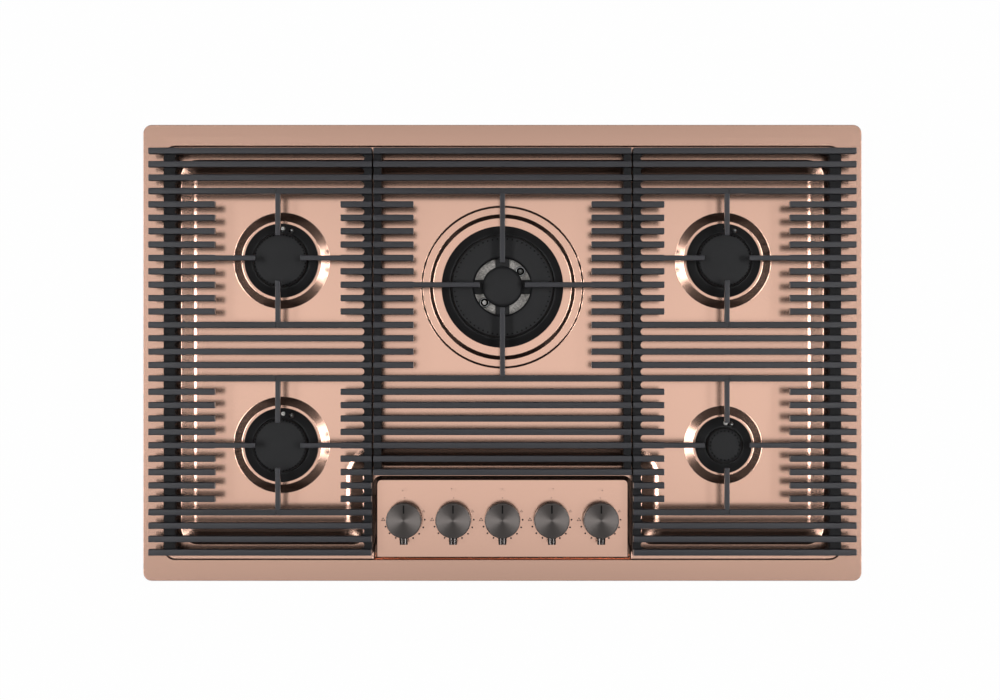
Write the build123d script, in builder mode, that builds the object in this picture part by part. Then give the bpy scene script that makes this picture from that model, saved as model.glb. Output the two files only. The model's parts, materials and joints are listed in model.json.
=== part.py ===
from build123d import *
import os
from math import cos, radians, sin

os.makedirs("parts", exist_ok=True)

# A five-burner built-in gas cooktop. Millimetres, +Z up, +Y to the rear, +X to the right.
# The origin is at the middle of the casing's underside, and the worktop lies at worktop_z.

# ---------------------------------------------------------------- driving sizes
# Levels
casing_depth = 50.0          # worktop plane above the casing's underside
rim_height = 5.0             # top of the rim above the worktop
shelf_drop = 4.0             # shelf that carries the pan supports, below the rim
floor_drop = 8.0             # well floor, below the shelf
panel_drop = 1.0             # control panel, below the rim
plateau_rise = 3.5           # raised seat of each burner, above the well floor
support_rise = 30.0          # cooking plane of the pan supports, above the rim
knob_rise = 24.0             # knob top above the panel

# Top deck, one pressed sheet
sheet = 1.2
well_length = 810.0
well_depth = 495.0
well_corner = 13.0
rim_side = 25.0              # width of the flat rim at the left and right
rim_end = 25.5               # and at the rear and front
rim_corner = 10.0
rim_skirt = 3.8              # turned-down edge of the rim
shelf_side = 20.0            # shelf width at the left and right ends
shelf_rear = 15.8
shelf_front = 17.5
shelf_corner = 20.0
slope_run = 18.0             # the sloped wall between shelf and floor, seen from above
panel_length = 300.8
panel_row_gap = 9.62         # from the centre grid's last bar to the panel's rear edge
panel_corner = 5.5
panel_slope = 4.5            # the panel's sloped border, seen from above
panel_shelf = 12.0           # shelf left around the panel
notch_round = 11.0           # shelf corner beside the panel

# Rows of bars, counted from the rear; the burners stand under a row
side_rows, middle_rows = 31, 25
end_row_inset = 10.2         # end bars' centre lines, from the well's wall
rear_row, middle_row = 8, 10

# Burners: outer ring, cap, port circle, number of ports, foot of the raised seat
semi_ring, semi_cap, semi_port_circle, semi_ports, semi_foot = 44.5, 32.5, 30.3, 48, 57.8
small_ring, small_cap, small_port_circle, small_ports, small_foot = 34.0, 21.25, 17.4, 24, 46.8
seat_run = 10.0              # conical side of the raised seat, seen from above
port_bore = 1.8
ring_rise = 9.0              # burner head above its seat
ring_edge = 3.5              # height of the head's outer edge
ring_wall = 3.0
ring_lip = 2.4               # width of the ring's foot
skirt_wall, skirt_depth = 2.0, 6.0         # the head's skirt, which hangs in the cup
skirt_clear = 0.4
cap_seat = 6.5               # where the cap rests, above the seat
cap_rise = 17.0              # cap top above the seat
cap_gap = 0.9                # between a cap and the head around it
cap_shoulder = 3.0           # rounded shoulder of a cap
cap_crown, cap_wall = 4.0, 1.2
cup_inset = 1.5              # a cup is this much narrower than its cap, in radius
cup_wall = 2.5
cup_clear = 0.8              # between a cup and its hole in the deck
cup_bottom = 10.0            # Z of the cups' underside
cup_floor = 12.0             # thickness of a cup's drilled floor
cup_spigot = 1.5             # the cup stands proud of the deck by this much
flange = 3.0                 # cup flange below the deck
flange_margin = 11.0         # width of the cup flange
cup_screw_offset = 5.5       # cup screws outside the cup's wall
cup_screw_angles = (20, 150, 270)

triple_ring = 73.0
triple_cap_outer, triple_cap_inner = 61.5, 34.0
triple_hub, triple_hub_cap = 19.5, 24.2
triple_bridge = 15.0
triple_port_circle, triple_ports = 57.2, 60
triple_cup = 60.5
triple_flange_margin = 9.0
triple_screw_angles = (0, 90, 180, 270)
triple_hub_wall, triple_bridge_height = 4.0, 4.0
hub_seat, bore_drop = 2.0, 0.6                 # hub top above the cap seat; inner wall below the seat
triple_gallery = 6.0         # the cup's solid core reaches this far under the ring cap
triple_cap_dome = 1.5        # the hub cap stands above the other caps by this much
ring_cap_rise, ring_cap_dome, ring_cap_wall = 16.0, 2.4, 1.4
hub_cap_lap = 0.2            # the hub cap's foot reaches past the hub
triple_step_outer, triple_step_run, triple_step_rise = 97.8, 2.0, 1.2
triple_foot, triple_foot_run = 87.5, 4.5

# Ignition and flame safety
electrode_r, electrode_tip_r = 2.4, 0.8
thermocouple_r = 1.9
probe_offset = 5.5           # from a cap's edge out to the electrode
electrode_angle, thermocouple_angle = 86.0, 70.0
window_radius = 28.6         # electrode and thermocouple of the triple burner
triple_electrode_angle, triple_thermocouple_angle = 221.0, 41.0
electrode_rise, thermocouple_rise = 13.0, 11.0
electrode_wire = 3.0         # bare tip above the ceramic
probe_bottom = 30.0          # Z of their lower ends
probe_clear = 0.5

# Pan supports
bar_width, bar_height = 7.4, 9.0
finger_width = 6.0
finger_tip = 26.6            # finger tip to burner centre
side_comb_gap, middle_comb_gap = 29.5, 32.0    # burner ring to comb tips
side_open, middle_open = 4, 6                  # comb rows each side of a burner
inner_comb = 36.8            # length of the comb beside the centre grid
grid_margin = 2.2            # the centre grid is this much wider than the panel, each side
grid_gap = 2.0               # between the centre grid and a side grid
grid_set_back = 1.5          # the grids rest this far behind their rows over the burners
rail_wall_gap = 4.0          # outer rail to the well's wall
outer_rail_width, inner_rail_width = 13.0, 9.1
bar_overhang = 17.4          # bar ends beyond the outer rail, over the rim
rail_height = 14.0
rail_overlap = 2.0           # rail runs up into the bars
rail_hollow = 4.2            # depth of the rounded ends between bars
foot_length = 8.0
foot_inset = 1.4             # a foot keeps this far inside the grid's own edge
pad_height = 2.0
pad_peg_r, pad_peg_height = 1.6, 4.0

# Controls
knob_count, knob_pitch = 5, 58.6
knob_offset = 0.75           # knobs behind the panel's middle line
knob_r, knob_skirt_r, knob_skirt_height = 20.7, 19.6, 3.0
knob_gap = 6.5               # knob's lower edge above the panel
knob_shell, knob_hub_r = 3.0, 7.5
knob_edge = 0.6
lever_reach, lever_root, lever_end, lever_height = 6.6, 10.2, 8.4, 11.0
lever_drop, lever_overlap = 1.5, 3.0           # below the knob's top, and into its body
index_length, index_width, index_depth, index_inset = 10.0, 1.8, 0.8, 2.6
push_travel = 3.5
seal_r, seal_height, seal_clear = 12.0, 2.5, 0.5
spindle_r, spindle_tail_r = 4.0, 3.0
spindle_flat = 1.2           # depth of the flat that turns the knob
spindle_clear = 0.05
spindle_top_gap = 3.0        # knob roof above the spindle
collar_r, collar_thick = 6.0, 1.2
collar_clear = 1.0           # between the spindle's collar and the panel
tail_shoulder = 1.0          # the thick part of a spindle ends this far above its plug
panel_hole_r = 7.0

# Taps, gas rail and pipes
tap_r, tap_bottom, tap_top = 11.0, 10.0, 38.0
plug_bottom, plug_top = 20.0, 36.0
plug_r_bottom, plug_r_top = 5.5, 7.0
tail_depth = 8.0             # spindle tail inside the plug
bonnet_length, bonnet_width, bonnet_height = 28.0, 18.0, 3.5
spring_wire, spring_gap, spring_turns = 0.8, 0.7, 4
rail_size, rail_wall = 16.0, 3.0
rail_offset, rail_z = 27.0, 28.0               # gas rail behind the taps
tap_boss = 12.0
pipe_r, pipe_bore, pipe_z, pipe_bend = 3.0, 2.0, 16.0, 9.0
riser_bore = 1.6             # from a cup's drilling up to its injector
outlet_r, outlet_length = 5.5, 14.0
outer_pipe_offset = 31.0     # run of the two front pipes, behind the taps
inner_pipe_y = 0.0           # run of the two rear pipes
cup_boss_r, cup_boss_length = 5.5, 6.0
injector_r, injector_height, injector_jet = 4.5, 8.0, 0.8
feed_pipe_r, feed_pipe_bore = 6.0, 4.5

# Connections
inlet_r, inlet_bore, inlet_length = 10.48, 7.0, 16.0
inlet_side, inlet_rear = 65.0, 27.5            # inlet from the casing's inner walls
inlet_block = 27.0
inlet_collar_r, inlet_collar = 12.0, 1.0       # shoulder that passes the casing's roof and ends below it
pocket_height, pocket_length, pocket_depth = 18.0, 86.0, 46.0
gland_offset, gland_r, gland_bore, gland_length = -30.0, 8.0, 4.5, 14.0
gland_flange_r, gland_flange = 11.0, 2.5

# Casing, seal and fixings
casing_wall = 1.0
casing_clear = 3.8           # between the well's wall and the casing
casing_corner = 12.0
casing_flange = 7.0
gasket_gap, gasket_edge = 1.0, 1.8
vent_length, vent_width, vent_pitch, vent_count = 60.0, 5.0, 14.0, 5
clamp_x, clamp_width, clamp_leg, clamp_arm, clamp_sheet = 230.0, 20.0, 24.0, 15.0, 2.0
clamp_lift = 4.0             # clamp arm above the casing's underside
clamp_hole = 9.0             # screw from the casing's wall
clamp_screw_r, clamp_screw_head_r, clamp_screw_head, clamp_screw_top = 2.5, 5.0, 3.0, 22.0
cup_screw_r, cup_screw_head_r, cup_screw_head, cup_screw_length = 1.75, 3.2, 2.0, 8.0
module_length, module_width, module_height = 62.0, 40.0, 20.0
module_side, module_rear, module_lug, module_foot = 70.0, 74.5, 9.0, 2.0
module_edge, module_corner = 1.5, 3.0
terminal_count, terminal_pitch, terminal_width, terminal_height = 5, 10.0, 3.0, 4.0
bonnet_corner = 3.0
fit = 0.05                   # clearance of screws and pegs in their holes

# ---------------------------------------------------------------- derived places
rim_length = well_length + 2 * rim_side
rim_depth = well_depth + 2 * rim_end
row_pitch = (well_depth - 2 * end_row_inset) / (side_rows - 1)
front_row = side_rows - 1 - rear_row

worktop_z = casing_depth
rim_z = worktop_z + rim_height
shelf_z = rim_z - shelf_drop
floor_z = shelf_z - floor_drop
panel_z = rim_z - panel_drop
seat_z = floor_z + plateau_rise
support_z = rim_z + support_rise
knob_top = panel_z + knob_rise
knob_bottom = panel_z + knob_gap
flange_z = seat_z - sheet - flange

shelf_right = well_length / 2 - shelf_side
shelf_back = well_depth / 2 - shelf_rear
shelf_forward = -well_depth / 2 + shelf_front


def row_y(row):
    """Y of a row, counted from the rear. Burners and panel are set out on the rows."""
    return ((side_rows - 1) / 2 - row) * row_pitch


def bar_y(row):
    """Y of a pan support bar."""
    return row_y(row) + grid_set_back


panel_rear = row_y(middle_rows - 1) - panel_row_gap
notch_right = panel_length / 2 + panel_slope + panel_shelf
notch_back = panel_rear + panel_slope + panel_shelf

side_reach = semi_ring + side_comb_gap
middle_reach = triple_ring + middle_comb_gap
middle_half = panel_length / 2 + grid_margin
side_inner = middle_half + grid_gap
outer_high = well_length / 2 - rail_wall_gap
outer_low = outer_high - outer_rail_width
side_outer = outer_high + bar_overhang
burner_x = side_inner + inner_comb + side_reach

knob_y = (panel_rear - well_depth / 2) / 2 + knob_offset
knob_x = [(k - (knob_count - 1) / 2) * knob_pitch for k in range(knob_count)]
rail_y = knob_y + rail_offset

casing_inner_length = well_length + 2 * sheet + 2 * casing_clear
casing_inner_depth = well_depth + 2 * sheet + 2 * casing_clear
casing_length = casing_inner_length + 2 * casing_wall
casing_width = casing_inner_depth + 2 * casing_wall
casing_top = rim_z - sheet
inlet_x = casing_inner_length / 2 - inlet_side
inlet_y = casing_inner_depth / 2 - inlet_rear
gland_x = inlet_x + gland_offset


def polar(x, y, radius, angle):
    """A point on a circle about (x, y), the angle counted from +X towards the rear."""
    return (x + radius * cos(radians(angle)), y + radius * sin(radians(angle)))


simple_burners = {
    "rear_left": (-burner_x, row_y(rear_row), semi_ring, semi_cap, semi_port_circle, semi_ports, semi_foot),
    "front_left": (-burner_x, row_y(front_row), semi_ring, semi_cap, semi_port_circle, semi_ports, semi_foot),
    "rear_right": (burner_x, row_y(rear_row), semi_ring, semi_cap, semi_port_circle, semi_ports, semi_foot),
    "front_right": (
        burner_x, row_y(front_row), small_ring, small_cap, small_port_circle, small_ports, small_foot),
}
triple_y = row_y(middle_row)


def save(builder, name):
    """Labels a finished piece and writes it."""
    builder.part.label = name
    export_step(builder.part, f"parts/{name}.step")


def at_height(z):
    return Plane.XY.offset(z)


# ---------------------------------------------------------------- top deck
def well_outline(inset):
    """Inner edge of the shelf, or with an inset the foot of the sloped wall.
    It is a rectangle notched by the panel."""
    right, back = shelf_right - inset, shelf_back - inset
    front, side, rear = shelf_forward + inset, notch_right + inset, notch_back + inset
    with BuildLine() as edge:
        Polyline(
            (-right, back), (right, back), (right, front), (side, front),
            (side, rear), (-side, rear), (-side, front), (-right, front), close=True,
        )
    make_face(edge.edges())
    corners = vertices().group_by(Axis.Y)
    outer = corners[-1] + corners[0].sort_by(Axis.X)[:1] + corners[0].sort_by(Axis.X)[-1:]
    feet = corners[0].sort_by(Axis.X)[1:3]
    fillet(outer, radius=max(shelf_corner - inset, shelf_corner / 4))
    fillet(feet, radius=notch_round + inset / 4)
    notch = vertices().filter_by(lambda v: abs(v.Y - rear) < 0.01 and abs(abs(v.X) - side) < 0.01)
    fillet(notch, radius=notch_round + inset)


def panel_outline(spread):
    """Outline of the control panel, or with a spread the foot of its sloped border, run on under the rim."""
    front = -well_depth / 2 - sheet
    rear = panel_rear + spread
    with Locations((0, (front + rear) / 2)):
        Rectangle(panel_length + 2 * spread, rear - front)
    fillet(vertices().group_by(Axis.Y)[-1], radius=panel_corner + spread)


def sloped_well(drop, mode):
    """The space between shelf and floor, moved down by a drop."""
    with BuildSketch(at_height(shelf_z - drop)) as mouth:
        well_outline(0)
    with BuildSketch(at_height(floor_z - drop)) as bottom:
        well_outline(slope_run)
    loft([mouth.sketch, bottom.sketch], mode=mode)


def raised_panel(drop, mode):
    """The control panel's raised block, moved down by a drop."""
    with BuildSketch(at_height(shelf_z - drop)) as foot:
        panel_outline(panel_slope)
    with BuildSketch(at_height(panel_z - drop)) as face:
        panel_outline(0)
    loft([foot.sketch, face.sketch], mode=mode)


def raised_seat(x, y, foot, run, bottom, rise, mode):
    """A conical step under a burner."""
    with Locations((x, y, bottom)):
        Cone(foot, foot - run, rise, align=(Align.CENTER, Align.CENTER, Align.MIN), mode=mode)


def all_seats(drop, mode):
    for x, y, _, _, _, _, foot in simple_burners.values():
        raised_seat(x, y, foot, seat_run, floor_z - drop, plateau_rise, mode)
    step_top = floor_z + triple_step_rise
    raised_seat(0, triple_y, triple_step_outer, triple_step_run, floor_z - drop, triple_step_rise, mode)
    raised_seat(0, triple_y, triple_foot, triple_foot_run, step_top - drop, seat_z - step_top, mode)


def probe_places():
    """Electrode and thermocouple positions, one pair for each burner."""
    places = []
    for x, y, _, cap, _, _, _ in simple_burners.values():
        radius = cap + probe_offset
        places.append((polar(x, y, radius, electrode_angle), polar(x, y, radius, thermocouple_angle)))
    places.append((
        polar(0, triple_y, window_radius, triple_electrode_angle),
        polar(0, triple_y, window_radius, triple_thermocouple_angle)))
    return places


def screw_places():
    """Screws that hold each cup under the deck."""
    places = []
    for x, y, _, cap, _, _, _ in simple_burners.values():
        radius = cap - cup_inset + cup_screw_offset
        places += [polar(x, y, radius, angle) for angle in cup_screw_angles]
    places += [polar(0, triple_y, triple_cup + cup_screw_offset, angle) for angle in triple_screw_angles]
    return places


with BuildPart() as top_deck:
    with BuildSketch(at_height(rim_z - rim_skirt)):
        RectangleRounded(rim_length, rim_depth, rim_corner)
    extrude(amount=rim_skirt)
    with BuildSketch(at_height(rim_z - rim_skirt)):
        RectangleRounded(rim_length - 2 * sheet, rim_depth - 2 * sheet, rim_corner - sheet)
    extrude(amount=rim_skirt - sheet, mode=Mode.SUBTRACT)
    with BuildSketch(at_height(shelf_z - sheet)):
        RectangleRounded(well_length + 2 * sheet, well_depth + 2 * sheet, well_corner + sheet)
    extrude(amount=rim_z - shelf_z)
    sloped_well(sheet, Mode.ADD)
    with BuildSketch(at_height(shelf_z)):
        RectangleRounded(well_length, well_depth, well_corner)
    extrude(amount=rim_z - shelf_z, mode=Mode.SUBTRACT)
    sloped_well(0, Mode.SUBTRACT)
    raised_panel(0, Mode.ADD)
    raised_panel(sheet, Mode.SUBTRACT)
    all_seats(0, Mode.ADD)
    all_seats(sheet, Mode.SUBTRACT)
    with BuildSketch(at_height(floor_z - sheet)):
        for x, y, _, cap, _, _, _ in simple_burners.values():
            with Locations((x, y)):
                Circle(cap - cup_inset + cup_clear)
        with Locations((0, triple_y)):
            Circle(triple_cup + cup_clear)
        for electrode, thermocouple in probe_places()[:-1]:
            with Locations(electrode, thermocouple):
                Circle(electrode_r + probe_clear)
        with Locations(*screw_places()):
            Circle(cup_screw_r + fit)
    extrude(amount=2 * plateau_rise, mode=Mode.SUBTRACT)
    with BuildSketch(at_height(panel_z - sheet)):
        with Locations(*[(x, knob_y) for x in knob_x]):
            Circle(panel_hole_r)
    extrude(amount=sheet, mode=Mode.SUBTRACT)
save(top_deck, "top_deck")

# ---------------------------------------------------------------- bottom casing and seal
pocket_x = inlet_x + gland_offset / 2
pocket_y = casing_inner_depth / 2 - pocket_depth / 2

with BuildPart() as bottom_casing:
    with BuildSketch():
        RectangleRounded(casing_length, casing_width, casing_corner)
    extrude(amount=casing_top)
    with BuildSketch(at_height(casing_top - casing_wall)):
        RectangleRounded(
            casing_length + 2 * casing_flange, casing_width + 2 * casing_flange,
            casing_corner + casing_flange)
    extrude(amount=casing_wall)
    with BuildSketch(at_height(casing_wall)):
        RectangleRounded(casing_inner_length, casing_inner_depth, casing_corner - casing_wall)
    extrude(amount=casing_top, mode=Mode.SUBTRACT)
    with BuildSketch():
        with Locations((pocket_x, pocket_y)):
            Rectangle(pocket_length, pocket_depth)
    extrude(amount=pocket_height + casing_wall)
    with BuildSketch():
        with Locations((pocket_x, pocket_y)):
            Rectangle(pocket_length - 2 * casing_wall, pocket_depth - 2 * casing_wall)
    extrude(amount=pocket_height, mode=Mode.SUBTRACT)
    with BuildSketch(at_height(pocket_height)):
        with Locations((inlet_x, inlet_y)):
            Circle(inlet_collar_r + fit)
        with Locations((gland_x, inlet_y)):
            Circle(gland_r + fit)
    extrude(amount=casing_wall, mode=Mode.SUBTRACT)
    with BuildSketch():
        for x in (-burner_x, 0, burner_x):
            with Locations((x, 0)):
                with GridLocations(0, vent_pitch, 1, vent_count):
                    SlotOverall(vent_length, vent_width)
    extrude(amount=casing_wall, mode=Mode.SUBTRACT)
save(bottom_casing, "bottom_casing")

gasket_inner = casing_flange + gasket_gap
with BuildPart() as rim_gasket:
    with BuildSketch(at_height(worktop_z)):
        RectangleRounded(rim_length - 2 * gasket_edge, rim_depth - 2 * gasket_edge, rim_corner - gasket_edge)
        RectangleRounded(
            casing_length + 2 * gasket_inner, casing_width + 2 * gasket_inner,
            casing_corner, mode=Mode.SUBTRACT)
    extrude(amount=rim_z - sheet - worktop_z)
save(rim_gasket, "rim_gasket")

# ---------------------------------------------------------------- pan supports
def pan_support(name, left, right, rows, windows, rails):
    """One cast grid. A window is (burner x, burner row, open rows each side, comb reach); a rail is
    (left edge, right edge, side of its rounded hollows or 0)."""
    bars_bottom = support_z - bar_height
    feet = []
    with BuildPart() as grid:
        with BuildSketch(at_height(bars_bottom)):
            with Locations(*[((left + right) / 2, bar_y(row)) for row in range(rows)]):
                Rectangle(right - left, bar_width)
            for x, row, open_rows, reach in windows:
                with Locations((x, bar_y(row))):
                    Rectangle(2 * reach, (2 * open_rows + 1) * row_pitch, mode=Mode.SUBTRACT)
                    finger_x = reach + row_pitch / 2 - finger_tip
                    finger_y = (open_rows + 1) * row_pitch - finger_tip
                    with Locations((finger_tip + finger_x / 2, 0), (-finger_tip - finger_x / 2, 0)):
                        Rectangle(finger_x, finger_width)
                    with Locations((0, finger_tip + finger_y / 2), (0, -finger_tip - finger_y / 2)):
                        Rectangle(finger_width, finger_y)
        extrude(amount=bar_height)
        rail_bottom = bars_bottom + rail_overlap - rail_height
        length = (rows - 1) * row_pitch + bar_width
        middle = (bar_y(0) + bar_y(rows - 1)) / 2
        for low, high, hollow in rails:
            with BuildSketch(at_height(rail_bottom)):
                edge = high if hollow > 0 else low
                with Locations(((low + high + hollow * rail_hollow) / 2, middle)):
                    Rectangle(high - low + abs(hollow) * rail_hollow, length)
                if hollow:
                    with Locations((edge + hollow * row_pitch / 2, middle)):
                        with GridLocations(0, row_pitch, 1, rows - 1):
                            SlotOverall(row_pitch, row_pitch - bar_width, mode=Mode.SUBTRACT)
            extrude(amount=rail_height)
            inset_low = foot_inset if low in (left, -side_inner, side_inner) else 0
            inset_high = foot_inset if high in (right, -side_inner, side_inner) else 0
            for row in (0, rows - 1):
                feet.append(((low + inset_low + high - inset_high) / 2, bar_y(row),
                             high - low - inset_low - inset_high))
        foot_bottom = shelf_z + pad_height
        with BuildSketch(at_height(foot_bottom)):
            for x, y, width in feet:
                with Locations((x, y)):
                    Rectangle(width, foot_length)
        extrude(amount=rail_bottom - foot_bottom)
        with BuildSketch(at_height(foot_bottom)):
            with Locations(*[(x, y) for x, y, _ in feet]):
                Circle(pad_peg_r + fit)
        extrude(amount=pad_peg_height + fit, mode=Mode.SUBTRACT)
    save(grid, f"pan_support_{name}")

    with BuildPart() as pads:
        with BuildSketch(at_height(shelf_z)):
            for x, y, width in feet:
                with Locations((x, y)):
                    Rectangle(width, foot_length)
        extrude(amount=pad_height)
        with BuildSketch(at_height(shelf_z + pad_height)):
            with Locations(*[(x, y) for x, y, _ in feet]):
                Circle(pad_peg_r)
        extrude(amount=pad_peg_height)
    save(pads, f"support_pads_{name}")


def side_windows(x):
    return [(x, rear_row, side_open, side_reach), (x, front_row, side_open, side_reach)]


pan_support(
    "left", -side_outer, -side_inner, side_rows, side_windows(-burner_x),
    [(-outer_high, -outer_low, 1), (-side_inner - inner_rail_width, -side_inner, -1)],
)
pan_support(
    "centre", -middle_half, middle_half, middle_rows, [(0, middle_row, middle_open, middle_reach)],
    [(-middle_half, -middle_half + inner_rail_width, 0), (middle_half - inner_rail_width, middle_half, 0)],
)
pan_support(
    "right", side_inner, side_outer, side_rows, side_windows(burner_x),
    [(side_inner, side_inner + inner_rail_width, 1), (outer_low, outer_high, -1)],
)


# ---------------------------------------------------------------- burners
def revolved(x, y, points):
    """A turned solid about the vertical through (x, y). The points are (radius, height above the seat)."""
    with BuildSketch(Plane(origin=(x, y, seat_z), x_dir=(1, 0, 0), z_dir=(0, -1, 0))) as profile:
        with BuildLine():
            Polyline(*points, close=True)
        make_face()
    revolve(profile.sketch, axis=Axis((x, y, 0), (0, 0, 1)))


def probe_holes(electrode, thermocouple, clear):
    """Holes for one electrode and one thermocouple, right through."""
    with BuildSketch(at_height(0)) as holes:
        with Locations(electrode):
            Circle(electrode_r + clear)
        with Locations(thermocouple):
            Circle(thermocouple_r + clear)
    extrude(holes.sketch, amount=support_z, mode=Mode.SUBTRACT)


def cup_passages(x, y, radius, screws, jets):
    """Gas boss at the front of a cup, its drillings, and the screw holes in its flange."""
    boss_y = y - radius - cup_boss_length
    boss_face = Plane(origin=(x, boss_y, pipe_z), x_dir=(1, 0, 0), z_dir=(0, 1, 0))
    with BuildSketch(boss_face) as boss:
        Circle(cup_boss_r)
    extrude(boss.sketch, amount=cup_boss_length + cup_wall)
    with BuildSketch(boss_face) as drilling:
        Circle(pipe_bore)
    extrude(drilling.sketch, amount=y - boss_y, mode=Mode.SUBTRACT)
    with BuildSketch(at_height(pipe_z)) as risers:
        with Locations(*jets):
            Circle(riser_bore)
    extrude(risers.sketch, amount=cup_bottom + cup_floor - pipe_z, mode=Mode.SUBTRACT)
    with BuildSketch(at_height(flange_z)) as screw_holes:
        with Locations(*screws):
            Circle(cup_screw_r + fit)
    extrude(screw_holes.sketch, amount=flange, mode=Mode.SUBTRACT)


def cup_profile(radius, flange_r):
    """Half section of a burner cup."""
    low, floor = cup_bottom - seat_z, cup_bottom + cup_floor - seat_z
    return [
        (0, low), (radius, low), (radius, -sheet - flange), (flange_r, -sheet - flange), (flange_r, -sheet),
        (radius, -sheet), (radius, cup_spigot), (radius - cup_wall, cup_spigot), (radius - cup_wall, floor),
        (0, floor),
    ]


def ring_profile(ring, cap, skirt):
    """Half section of a burner head: a ring that slopes up to the cap, and a skirt that hangs in the cup."""
    under = cap_seat - skirt_wall
    return [
        (ring, 0), (ring, ring_edge), (cap + cap_gap, ring_rise), (cap + cap_gap, cap_seat),
        (skirt - skirt_wall, cap_seat), (skirt - skirt_wall, -skirt_depth), (skirt, -skirt_depth),
        (skirt, under), (ring - ring_wall, under), (ring - ring_lip, 0),
    ]


def simple_burner(name, x, y, ring, cap, port_circle, ports, electrode, thermocouple):
    """Cup, head and cap of a single-ring burner."""
    cup_r = cap - cup_inset
    skirt = cup_r - cup_wall - skirt_clear
    screws = [place for place in screw_places() if abs(place[0] - x) < ring and abs(place[1] - y) < ring]
    with BuildPart() as cup:
        revolved(x, y, cup_profile(cup_r, cup_r + flange_margin))
        cup_passages(x, y, cup_r, screws, [(x, y)])
        probe_holes(electrode, thermocouple, fit)
    save(cup, f"burner_cup_{name}")

    with BuildPart() as head:
        revolved(x, y, ring_profile(ring, cap, skirt))
        probe_holes(electrode, thermocouple, probe_clear)
    save(head, f"burner_head_{name}")

    with BuildPart() as lid:
        revolved(x, y, [
            (0, cap_rise), (cap - cap_shoulder, cap_rise - cap_shoulder / 5),
            (cap - cap_shoulder / 3, cap_rise - cap_shoulder / 2), (cap, cap_rise - cap_shoulder),
            (cap, cap_seat), (cap - cap_wall, cap_seat), (cap - cap_wall, cap_rise - cap_crown),
            (0, cap_rise - cap_crown),
        ])
        with BuildSketch(at_height(seat_z + cap_seat)):
            with Locations((x, y)):
                with PolarLocations(port_circle, ports):
                    Circle(port_bore / 2)
        extrude(amount=cap_rise - cap_seat, mode=Mode.SUBTRACT)
    save(lid, f"burner_cap_{name}")


probes = probe_places()
for (name, burner), (electrode, thermocouple) in zip(simple_burners.items(), probes):
    x, y, ring, cap, port_circle, ports, _ = burner
    simple_burner(name, x, y, ring, cap, port_circle, ports, electrode, thermocouple)

# Triple-ring burner: an outer ring and a hub, joined by four bridges with open windows between them
triple_electrode, triple_thermocouple = probes[-1]
gallery_outer, gallery_inner = triple_cup - cup_wall, triple_cap_inner + triple_gallery
middle_injector = (0, triple_y)
outer_injector = (0, triple_y - (gallery_outer + gallery_inner) / 2)
hub_bore = triple_hub - triple_hub_wall
hub_top = cap_seat + hub_seat
triple_screws = screw_places()[-len(triple_screw_angles):]

with BuildPart() as burner_cup_centre:
    core_r, core_top = triple_hub + 1, -1
    revolved(0, triple_y, cup_profile(triple_cup, triple_cup + triple_flange_margin))
    revolved(0, triple_y, [
        (core_r, cup_bottom + cup_floor - seat_z), (gallery_inner, cup_bottom + cup_floor - seat_z),
        (gallery_inner, core_top), (core_r, core_top),
    ])
    cup_passages(0, triple_y, triple_cup, triple_screws, [middle_injector, outer_injector])
    probe_holes(triple_electrode, triple_thermocouple, fit)
save(burner_cup_centre, "burner_cup_centre")

with BuildPart() as burner_head_centre:
    skirt = gallery_outer - skirt_clear
    bore = triple_cap_inner + skirt_clear
    bore_wall = triple_gallery / 2
    revolved(0, triple_y, ring_profile(triple_ring, triple_cap_outer, skirt))
    revolved(0, triple_y, [
        (bore, -bore_drop), (bore + bore_wall, -bore_drop), (bore + bore_wall, cap_seat), (bore, cap_seat)])
    with BuildSketch(at_height(seat_z)):
        with Locations((0, triple_y)):
            with PolarLocations((skirt + triple_hub - skirt_wall) / 2 - 1, 4):
                Rectangle(skirt - triple_hub + skirt_wall - 2, triple_bridge)
    extrude(amount=triple_bridge_height)
    revolved(0, triple_y, [
        (hub_bore, -skirt_depth), (triple_hub, -skirt_depth), (triple_hub, hub_top), (hub_bore, hub_top)])
save(burner_head_centre, "burner_head_centre")

with BuildPart() as burner_ring_cap_centre:
    crown_r = (triple_cap_inner + triple_cap_outer) / 2
    inner_wall, outer_wall = triple_cap_inner + ring_cap_wall, triple_cap_outer - ring_cap_wall
    flank_z, roof_z = ring_cap_rise - 2 * ring_cap_dome, ring_cap_rise - cap_crown
    revolved(0, triple_y, [
        (triple_cap_outer, cap_seat), (triple_cap_outer, flank_z),
        (triple_cap_outer - ring_cap_wall, flank_z + ring_cap_dome / 2),
        (triple_port_circle - cap_shoulder, ring_cap_rise - ring_cap_dome / 2), (crown_r, ring_cap_rise),
        (inner_wall + cap_shoulder, ring_cap_rise - ring_cap_dome / 2),
        (inner_wall, flank_z + ring_cap_dome / 2), (triple_cap_inner, flank_z),
        (triple_cap_inner, cap_seat), (inner_wall, cap_seat), (inner_wall, flank_z - ring_cap_dome / 2),
        (crown_r, roof_z), (outer_wall, flank_z - ring_cap_dome / 2), (outer_wall, cap_seat),
    ])
    with BuildSketch(at_height(seat_z + cap_seat)):
        with Locations((0, triple_y)):
            with PolarLocations(triple_port_circle, triple_ports):
                Circle(port_bore / 2)
    extrude(amount=cap_rise - cap_seat, mode=Mode.SUBTRACT)
save(burner_ring_cap_centre, "burner_ring_cap_centre")

with BuildPart() as burner_cap_centre:
    top = cap_rise + triple_cap_dome
    foot_r = triple_hub + hub_cap_lap
    revolved(0, triple_y, [
        (0, top), (triple_hub_cap - cap_shoulder, top - cap_shoulder / 5),
        (triple_hub_cap - cap_shoulder / 3, top - cap_shoulder / 2), (triple_hub_cap, top - cap_shoulder),
        (triple_hub_cap, hub_top + hub_seat), (foot_r, hub_top), (hub_bore, hub_top),
        (hub_bore, top - cap_crown), (0, top - cap_crown),
    ])
save(burner_cap_centre, "burner_cap_centre")

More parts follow.
